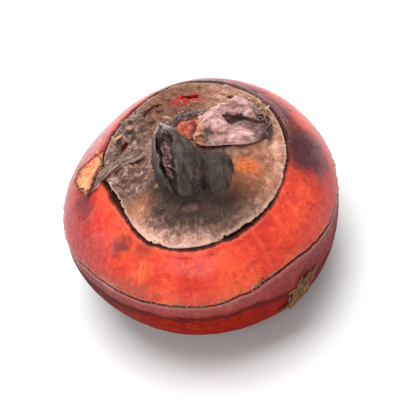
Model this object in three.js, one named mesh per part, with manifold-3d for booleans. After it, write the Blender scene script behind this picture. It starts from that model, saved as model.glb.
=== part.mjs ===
// One water chestnut: the corm of Eleocharis dulcis, freshly dug and washed, with its dry crown.
// Millimetres, +Z up. The corm sits on its flattened base, bud upwards; its front faces -Y.
// A corm is a short swollen stem, so it carries nodes: rings that run round it, each of which once
// held a sheathing scale leaf. The uppermost leaf still lies over the crown as a papery disc with
// a free edge; scraps of others stay at the crown and at one of the lower rings. Two buds
// stand in the middle of the crown.
import * as THREE from "three";
import { mergeVertices } from "three/addons/utils/BufferGeometryUtils.js";
import Module from "manifold-3d";

// ---------------------------------------------------------------- driving dimensions
const RADIUS = 20.0; // half the width at the equator
const FLATNESS = 0.64; // half height over half width
const BOXINESS = 2.3; // superellipse exponent of the side profile; 2 is a plain ellipse
const EQUATOR_Z = 12.0; // height of the widest level above the base
const SCAR_RADIUS = 3.2; // hollow where the stolon broke away, in the middle of the base
const SCAR_DEPTH = 1.1;
const RING_ELEVATION = [33.9, 7.7, -26.0]; // crown ring, girdle ring, base ring: degrees seen from the centre
const RING_DEPTH = [0.75, 0.32, 0.22];
const LEAF_THICKNESS = 0.5; // the papery crown leaf
const GAP = 0.3; // clearance between separate pieces
const LEAF_SEAT = LEAF_THICKNESS + GAP + 0.05; // how far the corm is let in under the crown leaf
const SEGMENTS = 60;
const CENTRE = [0.0824, -0.1631]; // middle of the outline, moved onto the Z axis

// How the crown and girdle rings wander up and down round the corm, every 30 degrees from the front.
const RING_PATH = [
  [30.9, 32.6, 34.9, 34.6, 32.6, 32.4, 33.0, 34.5, 36.8, 38.5, 37.0, 31.2],
  [7.6, 11.0, 6.5, 5.0, 6.0, 7.0, 8.0, 7.5, 6.0, 4.5, 8.6, 7.8],
  [-26.0, -25.2, -24.6, -25.4, -26.8, -27.5, -26.6, -25.6, -25.0, -25.8, -27.0, -26.8],
];

// Broad swellings and flats that make the corm lopsided: azimuth, elevation, height in mm, spread in degrees.
const SWELLINGS = [
  [131, 18, -1.15, 40],
  [-54, -25, 0.5, 24],
  [-146, -20, -0.45, 24],
  [-18, -14, -0.35, 20],
  [60, 10, 0.35, 30],
  [-95, 18, 0.2, 22],
  [-85, 79, -1.1, 17],
];

const rad = THREE.MathUtils.degToRad;

// Closed Catmull-Rom through values 30 degrees apart.
function around(table, azimuth) {
  const n = table.length;
  const t = ((((azimuth % 360) + 360) % 360) / 360) * n;
  const i = Math.floor(t),
    f = t - i;
  const [a, b, c, d] = [-1, 0, 1, 2].map((k) => table[(i + k + n) % n]);
  return (
    b +
    0.5 * f * (c - a + f * (2 * a - 5 * b + 4 * c - d + f * (3 * (b - c) + d - a)))
  );
}

// Distance from the corm's centre to its skin in a direction, without rings. Angles in degrees, azimuth from +X.
function skinDistance(elevation, azimuth) {
  const c = Math.abs(Math.cos(rad(elevation))),
    s = Math.abs(Math.sin(rad(elevation)));
  let d =
    Math.pow(
      Math.pow(c / RADIUS, BOXINESS) +
        Math.pow(s / (FLATNESS * RADIUS), BOXINESS),
      -1 / BOXINESS,
    );
  const here = direction(elevation, azimuth);
  for (const [az, el, height, spread] of SWELLINGS) {
    const angle = here.angleTo(direction(el, az));
    d += height * Math.exp(-Math.pow(angle / rad(spread), 2));
  }
  return d;
}

function direction(elevation, azimuth) {
  return new THREE.Vector3(
    Math.cos(rad(elevation)) * Math.cos(rad(azimuth)),
    Math.cos(rad(elevation)) * Math.sin(rad(azimuth)),
    Math.sin(rad(elevation)),
  );
}

// A nominal profile level turned into the real elevation at this azimuth, so that rings follow their paths.
function wandered(level, azimuth) {
  let e = level;
  RING_PATH.forEach((path, k) => {
    const shift = around(path, azimuth + 90) - RING_ELEVATION[k];
    e += shift * Math.exp(-Math.pow((level - RING_ELEVATION[k]) / 9, 2));
  });
  return e;
}

// Point of the corm's surface, base at z = 0. offset moves it outwards.
function cormPoint(level, azimuth, offset = 0) {
  const e = wandered(level, azimuth);
  let d = skinDistance(e, azimuth);
  RING_ELEVATION.forEach((ring, k) => {
    const away = (rad(level - ring) * d) / 0.45;
    d -= RING_DEPTH[k] * Math.exp(-away * away);
  });
  if (level > RING_ELEVATION[0] + 1) d -= LEAF_SEAT;
  d += offset;
  const p = direction(e, azimuth).multiplyScalar(d);
  const floor = -EQUATOR_Z - offset;
  if (p.z < floor) p.multiplyScalar(floor / p.z);
  const out = Math.hypot(p.x, p.y);
  if (level < -60 && out < SCAR_RADIUS)
    p.z += SCAR_DEPTH * Math.pow(Math.cos((Math.PI / 2) * (out / SCAR_RADIUS)), 2);
  return new THREE.Vector3(p.x - CENTRE[0], p.y - CENTRE[1], p.z + EQUATOR_Z);
}

// Point of the smooth outer skin in a direction, base at z = 0, moved outwards by offset.
function skinPoint(elevation, azimuth, offset) {
  const p = direction(elevation, azimuth).multiplyScalar(
    skinDistance(elevation, azimuth) + offset,
  );
  return new THREE.Vector3(p.x - CENTRE[0], p.y - CENTRE[1], p.z + EQUATOR_Z);
}

// Height of the crown's nominal outer surface over a point, by bisection on the elevation.
function crownHeight(x, y) {
  const px = x + CENTRE[0],
    py = y + CENTRE[1];
  const out = Math.hypot(px, py),
    az = THREE.MathUtils.radToDeg(Math.atan2(py, px));
  let lo = 5,
    hi = 90;
  for (let i = 0; i < 40; i++) {
    const mid = (lo + hi) / 2;
    if (skinDistance(mid, az) * Math.cos(rad(mid)) > out) lo = mid;
    else hi = mid;
  }
  return skinDistance(lo, az) * Math.sin(rad(lo)) + EQUATOR_Z;
}

// ---------------------------------------------------------------- helpers
function closed(geometry) {
  geometry.deleteAttribute("normal");
  geometry.deleteAttribute("uv");
  return mergeVertices(geometry, 1e-4);
}

function reshape(geometry, map) {
  const p = geometry.getAttribute("position");
  for (let i = 0; i < p.count; i++) {
    const q = map(new THREE.Vector3().fromBufferAttribute(p, i));
    p.setXYZ(i, q.x, q.y, q.z);
  }
  return faceOut(geometry);
}

// Turns the triangles round if the body they enclose comes out with a negative volume.
function faceOut(geometry) {
  const p = geometry.getAttribute("position"),
    index = geometry.index.array;
  const corner = (k) => new THREE.Vector3().fromBufferAttribute(p, index[k]);
  let volume = 0;
  for (let i = 0; i < index.length; i += 3)
    volume += corner(i).dot(corner(i + 1).cross(corner(i + 2)));
  if (volume < 0)
    for (let i = 0; i < index.length; i += 3)
      [index[i], index[i + 1]] = [index[i + 1], index[i]];
  return geometry;
}

const wasm = await Module();
wasm.setup();

function toSolid(geometry) {
  return new wasm.Manifold(
    new wasm.Mesh({
      numProp: 3,
      vertProperties: new Float32Array(geometry.getAttribute("position").array),
      triVerts: new Uint32Array(geometry.index.array),
    }),
  );
}

function toGeometry(solid) {
  const m = solid.getMesh();
  const v = new Float32Array(m.numVert * 3);
  for (let i = 0; i < m.numVert; i++)
    v.set(m.vertProperties.subarray(i * m.numProp, i * m.numProp + 3), i * 3);
  return new THREE.BufferGeometry()
    .setAttribute("position", new THREE.BufferAttribute(v, 3))
    .setIndex(new THREE.BufferAttribute(new Uint32Array(m.triVerts), 1));
}

// The largest body left by a cut: a cut can leave slivers.
function largest(solid) {
  return solid.decompose().sort((a, b) => b.volume() - a.volume())[0];
}

function named(name, geometry, colour, roughness) {
  const g = geometry.index ? geometry.clone() : geometry;
  g.computeVertexNormals();
  const mesh = new THREE.Mesh(
    g,
    new THREE.MeshStandardMaterial({ color: colour, roughness, metalness: 0 }),
  );
  mesh.name = name;
  return mesh;
}

// ---------------------------------------------------------------- corm
const LEVELS = [
  -90, -84, -79, -75, -71, -66, -60, -55.5, -51, -45, -39, -33, -28.5, -26, -23.5,
  -17, -10, -3, 2, 5.6, 7.7, 9.8, 14, 19, 24, 28.5, 32, 33.9, 35.6, 40, 46, 53,
  61, 70, 80, 90,
];

function cormGeometry(offset) {
  const profile = LEVELS.map(
    (l) => new THREE.Vector2(Math.cos(rad(l)), Math.sin(rad(l))),
  );
  profile[0].x = profile[profile.length - 1].x = 0;
  const g = closed(new THREE.LatheGeometry(profile, SEGMENTS));
  // LatheGeometry turns its profile about Y; level and azimuth are read back from each vertex.
  return reshape(g, (v) => {
    const level = THREE.MathUtils.radToDeg(Math.asin(THREE.MathUtils.clamp(v.y, -1, 1)));
    const azimuth =
      Math.hypot(v.x, v.z) < 1e-6
        ? 0
        : THREE.MathUtils.radToDeg(Math.atan2(-v.z, v.x));
    return cormPoint(level, azimuth, offset);
  });
}

const corm = cormGeometry(0);
const cormKeepOut = toSolid(cormGeometry(GAP));

// ---------------------------------------------------------------- papery crown leaf
// A thin sheet over the crown, from its free edge at the crown ring in to the foot of the buds.
const LEAF_HOLE = { x: 0.9, y: -4.9, rx: 6.0, ry: 4.9 }; // the opening that the buds come up through

function leafEdge(azimuth) {
  const e = around(RING_PATH[0], azimuth + 90) + 1.6;
  const d = skinDistance(e, azimuth) * Math.cos(rad(e));
  return new THREE.Vector2(
    d * Math.cos(rad(azimuth)) - CENTRE[0],
    d * Math.sin(rad(azimuth)) - CENTRE[1],
  );
}

function leafGeometry() {
  const steps = 5;
  const profile = [];
  for (let i = 0; i <= steps; i++) profile.push(new THREE.Vector2(1 + i / steps, 0));
  for (let i = steps; i >= 0; i--) profile.push(new THREE.Vector2(1 + i / steps, 1));
  profile.push(profile[0].clone());
  const g = closed(new THREE.LatheGeometry(profile, SEGMENTS));
  return reshape(g, (v) => {
    const azimuth = Math.atan2(-v.z, v.x);
    const across = Math.hypot(v.x, v.z) - 1;
    const edge = leafEdge(THREE.MathUtils.radToDeg(azimuth));
    const inner = new THREE.Vector2(
      LEAF_HOLE.x + LEAF_HOLE.rx * Math.cos(azimuth),
      LEAF_HOLE.y + LEAF_HOLE.ry * Math.sin(azimuth),
    );
    const q = inner.lerp(edge, across);
    return new THREE.Vector3(
      q.x,
      q.y,
      crownHeight(q.x, q.y) - LEAF_THICKNESS * (1 - v.y),
    );
  });
}

// ---------------------------------------------------------------- buds
// A tapering body swept along a bent spine: half widths across and through it at each station.
function budGeometry(spine, across, through, lean, rings = 12, sides = 16) {
  const curve = new THREE.CatmullRomCurve3(spine.map((p) => new THREE.Vector3(...p)));
  const profile = [new THREE.Vector2(0, 0)];
  for (let i = 0; i <= rings; i++) profile.push(new THREE.Vector2(1, i / rings));
  profile.push(new THREE.Vector2(0, 1));
  const g = closed(new THREE.LatheGeometry(profile, sides));
  const side = new THREE.Vector3(Math.cos(rad(lean)), Math.sin(rad(lean)), 0);
  const at = (list, t) => {
    const u = t * (list.length - 1),
      i = Math.min(Math.floor(u), list.length - 2);
    return list[i] + (list[i + 1] - list[i]) * (u - i);
  };
  return reshape(g, (v) => {
    const t = THREE.MathUtils.clamp(v.y, 0, 1);
    const centre = curve.getPoint(t);
    const along = curve.getTangent(t);
    const b = new THREE.Vector3().crossVectors(along, side).normalize();
    const a = new THREE.Vector3().crossVectors(b, along).normalize();
    return centre
      .addScaledVector(a, v.x * at(across, t))
      .addScaledVector(b, v.z * at(through, t));
  });
}

// The main bud is a flattened claw that leans back; the side bud is a blunt lobe against its right flank.
const mainBud = budGeometry(
  [[-0.9, -5.9, 22.3], [-1.1, -5.3, 24.6], [-1.5, -3.4, 27.0], [-2.1, -0.6, 28.8], [-2.7, 2.2, 29.8]],
  [3.4, 3.3, 3.15, 2.9, 2.5, 1.8, 0.4],
  [2.9, 2.7, 2.4, 2.0, 1.5, 1.0, 0.35],
  4,
);

const sideBud = budGeometry(
  [[3.7, -7.4, 22.2], [3.8, -6.6, 24.2], [4.1, -5.0, 25.9], [4.4, -3.0, 26.6]],
  [2.2, 2.5, 2.4, 2.1, 1.2],
  [1.9, 2.0, 1.8, 1.5, 0.8],
  6,
  9,
  14,
);

// ---------------------------------------------------------------- dry scale leaves
// A leaf-shaped plate, curled across its width: a box whose grid is drawn onto a bent, narrowing strip.
function scaleGeometry({ spine, width, curl, thickness, up, along = 10, across = 8 }) {
  const curve = new THREE.CatmullRomCurve3(spine.map((p) => new THREE.Vector3(...p)));
  const g = closed(new THREE.BoxGeometry(1, 1, 1, along, across, 1));
  const upward = new THREE.Vector3(...up).normalize();
  const at = (list, t) => {
    const u = t * (list.length - 1),
      i = Math.min(Math.floor(u), list.length - 2);
    return list[i] + (list[i + 1] - list[i]) * (u - i);
  };
  return reshape(g, (v) => {
    const t = THREE.MathUtils.clamp(v.x + 0.5, 0, 1);
    const centre = curve.getPoint(t),
      tangent = curve.getTangent(t);
    const side = new THREE.Vector3().crossVectors(upward, tangent).normalize();
    const normal = new THREE.Vector3().crossVectors(tangent, side).normalize();
    const half = at(width, t) / 2,
      bend = rad(at(curl, t));
    // across the width the leaf is an arc of total angle 2 * bend
    const s = v.y * 2 * half;
    const r = Math.abs(bend) < 1e-3 ? 1e6 : half / bend;
    const angle = s / r;
    const n = v.z * thickness;
    return centre
      .addScaledVector(side, (r - n) * Math.sin(angle))
      .addScaledVector(normal, r - (r - n) * Math.cos(angle));
  });
}

// A cupped husk lying open side up on the crown, right of the buds.
const curledScale = scaleGeometry({
  spine: [[2.6, 0.9, 25.7], [5.2, 0.9, 25.5], [8.6, 1.2, 25.5], [12.2, 1.9, 25.3]],
  width: [5.0, 9.2, 10.4, 9.0, 3.6],
  curl: [55, 68, 72, 68, 50],
  thickness: 0.7,
  up: [0, 0.18, 1],
  along: 12,
  across: 10,
});

const orangeScale = scaleGeometry({
  spine: [[0.1, 1.9, 24.6], [0.2, 2.9, 26.2], [0.2, 3.9, 27.4]],
  width: [3.4, 3.7, 2.2],
  curl: [-30, -35, -30],
  thickness: 0.6,
  up: [0, 1, 0.4],
  along: 6,
  across: 6,
});

const rearScale = scaleGeometry({
  spine: [[-1.9, 5.4, 25.2], [0.2, 6.1, 26.2], [2.2, 6.1, 26.3], [4.2, 5.4, 25.6]],
  width: [1.4, 2.2, 2.2, 1.2],
  curl: [15, 20, 20, 15],
  thickness: 0.55,
  up: [0, 1, 0.5],
  along: 8,
  across: 4,
});

// A plate drawn onto the skin: half spans in azimuth and elevation, and how far it stands off.
function skinPatch(azimuth, elevation, halfAz, halfEl, off, thickness, round, lift = 0) {
  const g = closed(new THREE.BoxGeometry(1, 1, 1, 10, 6, 1));
  return reshape(g, (v) => {
    const narrow = Math.sqrt(Math.max(0, 1 - round * 4 * v.x * v.x));
    return skinPoint(
      elevation + 2 * halfEl * v.y * narrow,
      azimuth + 2 * halfAz * v.x,
      off + v.z * thickness + lift * (v.y + 0.5) * narrow,
    );
  });
}

// A torn flap across the left end of the crown ring, half on the crown leaf.
const tornScale = skinPatch(169, 37, 12, 7.5, 0.62, 0.5, 0.75, 0.35);

// Fibrous scrap still held at the base ring, on the front right.
const ringScrap = skinPatch(-54, -13, 13, 8.5, 0.62, 0.5, 0.45);

const cut = (geometry, ...others) =>
  toGeometry(
    largest(others.reduce((s, o) => s.subtract(o), toSolid(geometry).subtract(cormKeepOut))),
  );

const leaf = leafGeometry();
const leafSolid = toSolid(leaf);
const grown = (geometry, k) => {
  // the same body a little larger about its middle: what a neighbour is kept clear of
  const g = geometry.clone();
  g.computeBoundingBox();
  const c = g.boundingBox.getCenter(new THREE.Vector3()),
    size = g.boundingBox.getSize(new THREE.Vector3());
  const f = size.clone().set(1 + (2 * k) / size.x, 1 + (2 * k) / size.y, 1 + (2 * k) / size.z);
  return toSolid(reshape(g, (v) => v.sub(c).multiply(f).add(c)));
};
const leafKeepOut = leafSolid
  .translate([0, 0, GAP])
  .add(leafSolid)
  .add(leafSolid.translate([0, 0, -GAP]))
  .add(leafSolid.translate([0, 0, GAP / 2]))
  .add(leafSolid.translate([0, 0, -GAP / 2]));

const budKeepOut = grown(mainBud, GAP + 0.1);
const sideKeepOut = grown(sideBud, GAP + 0.1);
const huskKeepOut = grown(curledScale, GAP + 0.1);
const orangeKeepOut = grown(orangeScale, GAP + 0.1);

const group = new THREE.Group();
group.name = "water_chestnut";
group.add(
  named("corm", corm, 0xb0261a, 0.35),
  named("crown_leaf", leaf, 0xb08a78, 0.8),
  named("main_bud", cut(mainBud, leafKeepOut), 0x453a38, 0.6),
  named("side_bud", cut(sideBud, leafKeepOut, budKeepOut), 0x4c3d39, 0.6),
  named("curled_scale", cut(curledScale, leafKeepOut, budKeepOut, sideKeepOut), 0x9c6a60, 0.7),
  named("orange_scale", cut(orangeScale, leafKeepOut, budKeepOut, huskKeepOut), 0xa85034, 0.75),
  named("rear_scale", cut(rearScale, leafKeepOut, huskKeepOut, orangeKeepOut), 0x7a6560, 0.7),
  named("torn_scale", cut(tornScale, leafKeepOut), 0xd0784c, 0.8),
  named("ring_scrap", cut(ringScrap), 0x83523a, 0.85),
);

export default group;
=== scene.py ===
# Looks of the water chestnut: a fresh corm of Eleocharis dulcis on a plain pale floor.
# Shapes are worked out in millimetres in the CAD's own frame and handed to Blender in metres.
import bpy
import math
import numpy as np
from mathutils import Matrix, Vector


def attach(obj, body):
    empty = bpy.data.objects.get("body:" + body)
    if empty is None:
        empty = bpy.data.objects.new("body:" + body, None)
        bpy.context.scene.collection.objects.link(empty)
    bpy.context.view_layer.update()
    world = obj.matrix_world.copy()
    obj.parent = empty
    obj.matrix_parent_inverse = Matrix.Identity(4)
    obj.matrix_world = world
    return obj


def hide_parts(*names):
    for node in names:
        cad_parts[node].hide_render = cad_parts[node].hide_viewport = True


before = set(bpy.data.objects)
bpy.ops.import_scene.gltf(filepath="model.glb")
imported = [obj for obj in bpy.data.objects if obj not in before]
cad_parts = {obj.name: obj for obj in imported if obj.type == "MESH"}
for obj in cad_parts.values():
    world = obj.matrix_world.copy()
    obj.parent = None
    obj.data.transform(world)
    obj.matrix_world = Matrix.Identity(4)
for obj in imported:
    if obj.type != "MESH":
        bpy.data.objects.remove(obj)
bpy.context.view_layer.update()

# ---------------------------------------------------------------------------------------------
# The corm's numbers, as in the CAD; the skin's back shoulder is a touch fuller here
# ---------------------------------------------------------------------------------------------
RADIUS, FLATNESS, BOXINESS = 20.0, 0.64, 2.3
EQUATOR_Z = 12.0
CENTRE = (0.0824, -0.1631)
SCAR_RADIUS, SCAR_DEPTH = 3.2, 1.1
LEAF_SEAT = 0.85
RING_ELEVATION = (33.9, 7.7, -26.0)
RING_PATH = (
    (30.9, 32.6, 35.0, 36.0, 34.7, 34.3, 34.5, 35.6, 37.2, 39.6, 38.9, 31.4),
    (7.6, 11.0, 6.5, 5.0, 6.0, 7.0, 8.0, 7.5, 6.0, 4.5, 8.6, 7.8),
    (-26.0, -25.2, -24.6, -25.4, -26.8, -27.5, -26.6, -25.6, -25.0, -25.8, -27.0, -26.8),
)
SWELLINGS = (
    (131, 18, -1.15, 40),
    (-54, -25, 0.5, 24),
    (-146, -20, -0.45, 24),
    (-18, -14, -0.35, 20),
    (60, 10, 0.35, 30),
    (-95, 18, 0.2, 22),
    (-85, 79, -1.1, 17),
    (90, 38, 0.6, 26),
)
rad, deg = np.deg2rad, np.rad2deg


# ---------------------------------------------------------------------------------------------
# Seeded noise on arrays
# ---------------------------------------------------------------------------------------------
def lattice(i, j, k, seed):
    h = ((i * 73856093) ^ (j * 19349663) ^ (k * 83492791) ^ (seed * 2654435761)) & 0xFFFFFFFF
    h = h.astype(np.uint64)
    h ^= h >> np.uint64(16)
    h = (h * np.uint64(0x7FEB352D)) & np.uint64(0xFFFFFFFF)
    h ^= h >> np.uint64(15)
    h = (h * np.uint64(0x846CA68B)) & np.uint64(0xFFFFFFFF)
    h ^= h >> np.uint64(16)
    return h.astype(np.float64) / 2147483647.5 - 1.0


def noise(p, seed=0):
    """Smooth noise from -1 to 1 at points p, an array whose last axis is x, y, z."""
    p = np.asarray(p, float)
    q = np.floor(p)
    f = p - q
    w = f * f * f * (f * (f * 6 - 15) + 10)
    i, j, k = (q[..., n].astype(np.int64) for n in range(3))
    out = np.zeros(p.shape[:-1])
    for a in (0, 1):
        wa = w[..., 0] if a else 1 - w[..., 0]
        for b in (0, 1):
            wb = w[..., 1] if b else 1 - w[..., 1]
            for c in (0, 1):
                wc = w[..., 2] if c else 1 - w[..., 2]
                out += wa * wb * wc * lattice(i + a, j + b, k + c, seed)
    return out


def fbm(p, octaves=4, seed=0, gain=0.5):
    p = np.asarray(p, float)
    out, amp, total = 0.0, 1.0, 0.0
    for n in range(octaves):
        out = out + amp * noise(p * 2.03**n + 17.3 * n, seed + n)
        total += amp
        amp *= gain
    return out / total


def smooth(a, b, x):
    t = np.clip((np.asarray(x, float) - a) / (b - a), 0, 1)
    return t * t * (3 - 2 * t)


def bell(x, width):
    return np.exp(-((np.asarray(x, float) / width) ** 2))


def vec(*parts):
    return np.stack(np.broadcast_arrays(*parts), axis=-1).astype(float)


# ---------------------------------------------------------------------------------------------
# The corm's surface
# ---------------------------------------------------------------------------------------------
def around(table, az):
    n = len(table)
    t = (np.asarray(az, float) % 360) / 360 * n
    i = np.floor(t).astype(int)
    f = t - i
    v = np.array(table, float)
    a, b, c, d = (v[(i + k) % n] for k in (-1, 0, 1, 2))
    return b + 0.5 * f * (c - a + f * (2 * a - 5 * b + 4 * c - d + f * (3 * (b - c) + d - a)))


def skin_distance(el, az):
    c, s = np.abs(np.cos(rad(el))), np.abs(np.sin(rad(el)))
    d = ((c / RADIUS) ** BOXINESS + (s / (FLATNESS * RADIUS)) ** BOXINESS) ** (-1 / BOXINESS)
    for a, e, h, spread in SWELLINGS:
        cosine = np.sin(rad(el)) * math.sin(math.radians(e)) + np.cos(rad(el)) * math.cos(
            math.radians(e)
        ) * np.cos(rad(az - a))
        d = d + h * np.exp(-((deg(np.arccos(np.clip(cosine, -1, 1))) / spread) ** 2))
    return d


def wandered(level, az):
    e = np.array(level, float)
    for path, ring in zip(RING_PATH, RING_ELEVATION):
        e = e + (around(path, az + 90) - ring) * np.exp(-(((level - ring) / 9) ** 2))
    return e


def place(el, az, d):
    """Points at distance d from the corm's centre, in CAD millimetres."""
    ce = np.cos(rad(el))
    return vec(
        d * ce * np.cos(rad(az)) - CENTRE[0],
        d * ce * np.sin(rad(az)) - CENTRE[1],
        d * np.sin(rad(el)) + EQUATOR_Z,
    )


def crown_height(x, y):
    """Height of the smooth outer skin over (x, y), on the upper half."""
    px, py = np.asarray(x, float) + CENTRE[0], np.asarray(y, float) + CENTRE[1]
    out, az = np.hypot(px, py), deg(np.arctan2(py, px))
    lo, hi = np.full(out.shape, 3.0), np.full(out.shape, 90.0)
    for _ in range(30):
        mid = (lo + hi) / 2
        inside = skin_distance(mid, az) * np.cos(rad(mid)) > out
        lo, hi = np.where(inside, mid, lo), np.where(inside, hi, mid)
    return skin_distance(lo, az) * np.sin(rad(lo)) + EQUATOR_Z


# Places on the crown, as x and y in mm
BUD = np.array([-1.0, -6.8])
SIDE_BUD = np.array([2.8, -8.1])
CROWN_MIDDLE = np.array([0.9, -4.4])


def bud_distance(x, y):
    """How far (x, y) lies outside the feet of the two buds, in mm."""
    a = (np.hypot((x - BUD[0]) / 3.0, (y - BUD[1]) / 2.6) - 1) * 2.8
    b = (np.hypot((x - SIDE_BUD[0]) / 2.3, (y - SIDE_BUD[1]) / 2.1) - 1) * 2.2
    k = 1.2
    h = np.clip(0.5 + 0.5 * (b - a) / k, 0, 1)
    return b * (1 - h) + a * h - k * h * (1 - h)


# ---------------------------------------------------------------------------------------------
# Mesh building
# ---------------------------------------------------------------------------------------------
def build(name, verts, quads=(), tris=(), attrs=None, sharp=None):
    """A mesh object from vertices in mm and faces by index."""
    me = bpy.data.meshes.new(name)
    verts = np.asarray(verts, float).reshape(-1, 3)
    quads = np.asarray(quads, np.int32).reshape(-1, 4)
    tris = np.asarray(tris, np.int32).reshape(-1, 3)
    me.vertices.add(len(verts))
    me.vertices.foreach_set("co", (verts * 0.001).astype(np.float32).ravel())
    me.loops.add(quads.size + tris.size)
    me.polygons.add(len(quads) + len(tris))
    me.loops.foreach_set("vertex_index", np.concatenate([quads.ravel(), tris.ravel()]).astype(np.int32))
    starts = np.concatenate(
        [np.arange(len(quads)) * 4, quads.size + np.arange(len(tris)) * 3]
    ).astype(np.int32)
    me.polygons.foreach_set("loop_start", starts)
    me.polygons.foreach_set("use_smooth", np.ones(len(starts), bool))
    for key, values in (attrs or {}).items():
        a = me.attributes.new(key, "FLOAT", "POINT")
        a.data.foreach_set("value", np.asarray(values, np.float32).ravel())
    me.update(calc_edges=True)
    me.validate()
    if sharp is not None:
        me.set_sharp_from_angle(angle=math.radians(sharp))
    ob = bpy.data.objects.new(name, me)
    bpy.context.scene.collection.objects.link(ob)
    return ob


def ring_quads(rows, n, offset=0):
    """Quads between rows of n points that close round; rows run outwards-up with faces out when points run anticlockwise."""
    i = np.arange(rows - 1)[:, None] * n + offset
    j = np.arange(n)[None, :]
    k = (j + 1) % n
    return np.stack([i + j, i + k, i + n + k, i + n + j], axis=-1).reshape(-1, 4)


def grid_normals(p, wrap=False):
    """Unit normals of a grid of points (rows, columns, 3)."""
    du = np.gradient(p, axis=0)
    if wrap:
        dv = np.roll(p, -1, axis=1) - np.roll(p, 1, axis=1)
    else:
        dv = np.gradient(p, axis=1)
    n = np.cross(dv, du)
    return n / np.maximum(np.linalg.norm(n, axis=-1, keepdims=True), 1e-12)


def sheet(name, p, thickness, attrs=None, sharp=50, flip=False):
    """A closed thin body from a grid of middle points (rows, columns, 3)."""
    rows, cols = p.shape[:2]
    n = grid_normals(p) * (-1 if flip else 1)
    half = np.broadcast_to(np.asarray(thickness, float), (rows, cols))[..., None] / 2
    top, bottom = p + n * half, p - n * half
    idx = np.arange(rows * cols).reshape(rows, cols)
    a, b, c, d = idx[:-1, :-1], idx[:-1, 1:], idx[1:, 1:], idx[1:, :-1]
    up = np.stack([a, b, c, d], -1).reshape(-1, 4)
    if flip:
        up = up[:, ::-1]
    down = up[:, ::-1] + rows * cols
    loop = np.concatenate([idx[0, :-1], idx[:-1, -1], idx[-1, :0:-1], idx[:0:-1, 0]])
    nxt = np.roll(loop, -1)
    side = np.stack([nxt, loop, loop + rows * cols, nxt + rows * cols], -1)
    if flip:
        side = side[:, ::-1]
    both = {}
    for key, values in (attrs or {}).items():
        v = np.broadcast_to(values, (rows, cols)).ravel()
        both[key] = np.concatenate([v, v])
    both["face"] = np.concatenate([np.ones(rows * cols), np.zeros(rows * cols)])
    return build(name, np.concatenate([top.reshape(-1, 3), bottom.reshape(-1, 3)]), np.concatenate([up, down, side]), attrs=both, sharp=sharp)


def merged(name, parts, sharp=None):
    """One mesh from many (verts, quads, tris, attrs)."""
    verts, quads, tris, attrs, n = [], [], [], {}, 0
    for v, q, t, a in parts:
        v = np.asarray(v, float).reshape(-1, 3)
        verts.append(v)
        quads.append(np.asarray(q, int).reshape(-1, 4) + n)
        tris.append(np.asarray(t, int).reshape(-1, 3) + n)
        for key, values in a.items():
            attrs.setdefault(key, []).append(np.broadcast_to(values, (len(v),)))
        n += len(v)
    return build(
        name,
        np.concatenate(verts),
        np.concatenate(quads),
        np.concatenate(tris),
        {k: np.concatenate(v) for k, v in attrs.items()},
        sharp,
    )


def sheet_part(p, thickness, attrs=None, flip=False):
    """The same closed thin body as sheet(), as arrays for merged()."""
    rows, cols = p.shape[:2]
    n = grid_normals(p) * (-1 if flip else 1)
    half = np.broadcast_to(np.asarray(thickness, float), (rows, cols))[..., None] / 2
    v = np.concatenate([(p + n * half).reshape(-1, 3), (p - n * half).reshape(-1, 3)])
    idx = np.arange(rows * cols).reshape(rows, cols)
    a, b, c, d = idx[:-1, :-1], idx[:-1, 1:], idx[1:, 1:], idx[1:, :-1]
    up = np.stack([a, b, c, d], -1).reshape(-1, 4)
    if flip:
        up = up[:, ::-1]
    down = up[:, ::-1] + rows * cols
    loop = np.concatenate([idx[0, :-1], idx[:-1, -1], idx[-1, :0:-1], idx[:0:-1, 0]])
    nxt = np.roll(loop, -1)
    side = np.stack([nxt, loop, loop + rows * cols, nxt + rows * cols], -1)
    if flip:
        side = side[:, ::-1]
    both = {}
    for key, values in (attrs or {}).items():
        w = np.broadcast_to(values, (rows, cols)).ravel()
        both[key] = np.concatenate([w, w])
    return v, np.concatenate([up, down, side]), np.zeros((0, 3), int), both


def lobe(rows, cols, point):
    """A closed body from point(t, phi): t runs 0 to 1 from the lower pole to the upper, phi round in radians."""
    t = np.linspace(0, 1, rows + 2)[1:-1][:, None]
    phi = (np.arange(cols) / cols * 2 * math.pi)[None, :]
    p = point(t, phi)
    low = point(np.zeros((1, 1)), np.zeros((1, 1))).reshape(3)
    high = point(np.ones((1, 1)), np.zeros((1, 1))).reshape(3)
    v = np.concatenate([[low], p.reshape(-1, 3), [high]])
    q = ring_quads(rows, cols, 1)
    j = np.arange(cols)
    k = (j + 1) % cols
    last = 1 + (rows - 1) * cols
    tris = np.concatenate(
        [
            np.stack([np.zeros(cols, int), 1 + k, 1 + j], -1),
            np.stack([last + j, last + k, np.full(cols, len(v) - 1)], -1),
        ]
    )
    tt = np.concatenate([[0], np.broadcast_to(t, p.shape[:2]).ravel(), [1]])
    ff = np.concatenate([[0], np.broadcast_to(phi, p.shape[:2]).ravel(), [0]])
    return v, q, tris, {"along": tt, "turn": ff}


def spline(points, t):
    """Catmull-Rom curve through points at t from 0 to 1; works on arrays of t."""
    pts = np.array(points, float)
    if pts.ndim == 1:
        pts = pts[:, None]
    n = len(pts) - 1
    u = np.clip(np.asarray(t, float), 0, 1) * n
    i = np.minimum(np.floor(u).astype(int), n - 1)
    f = (u - i)[..., None]
    ext = np.vstack([2 * pts[0] - pts[1], pts, 2 * pts[-1] - pts[-2]])
    a, b, c, d = (ext[i + k] for k in range(4))
    out = b + 0.5 * f * (c - a + f * (2 * a - 5 * b + 4 * c - d + f * (3 * (b - c) + d - a)))
    return out[..., 0] if out.shape[-1] == 1 else out


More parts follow.
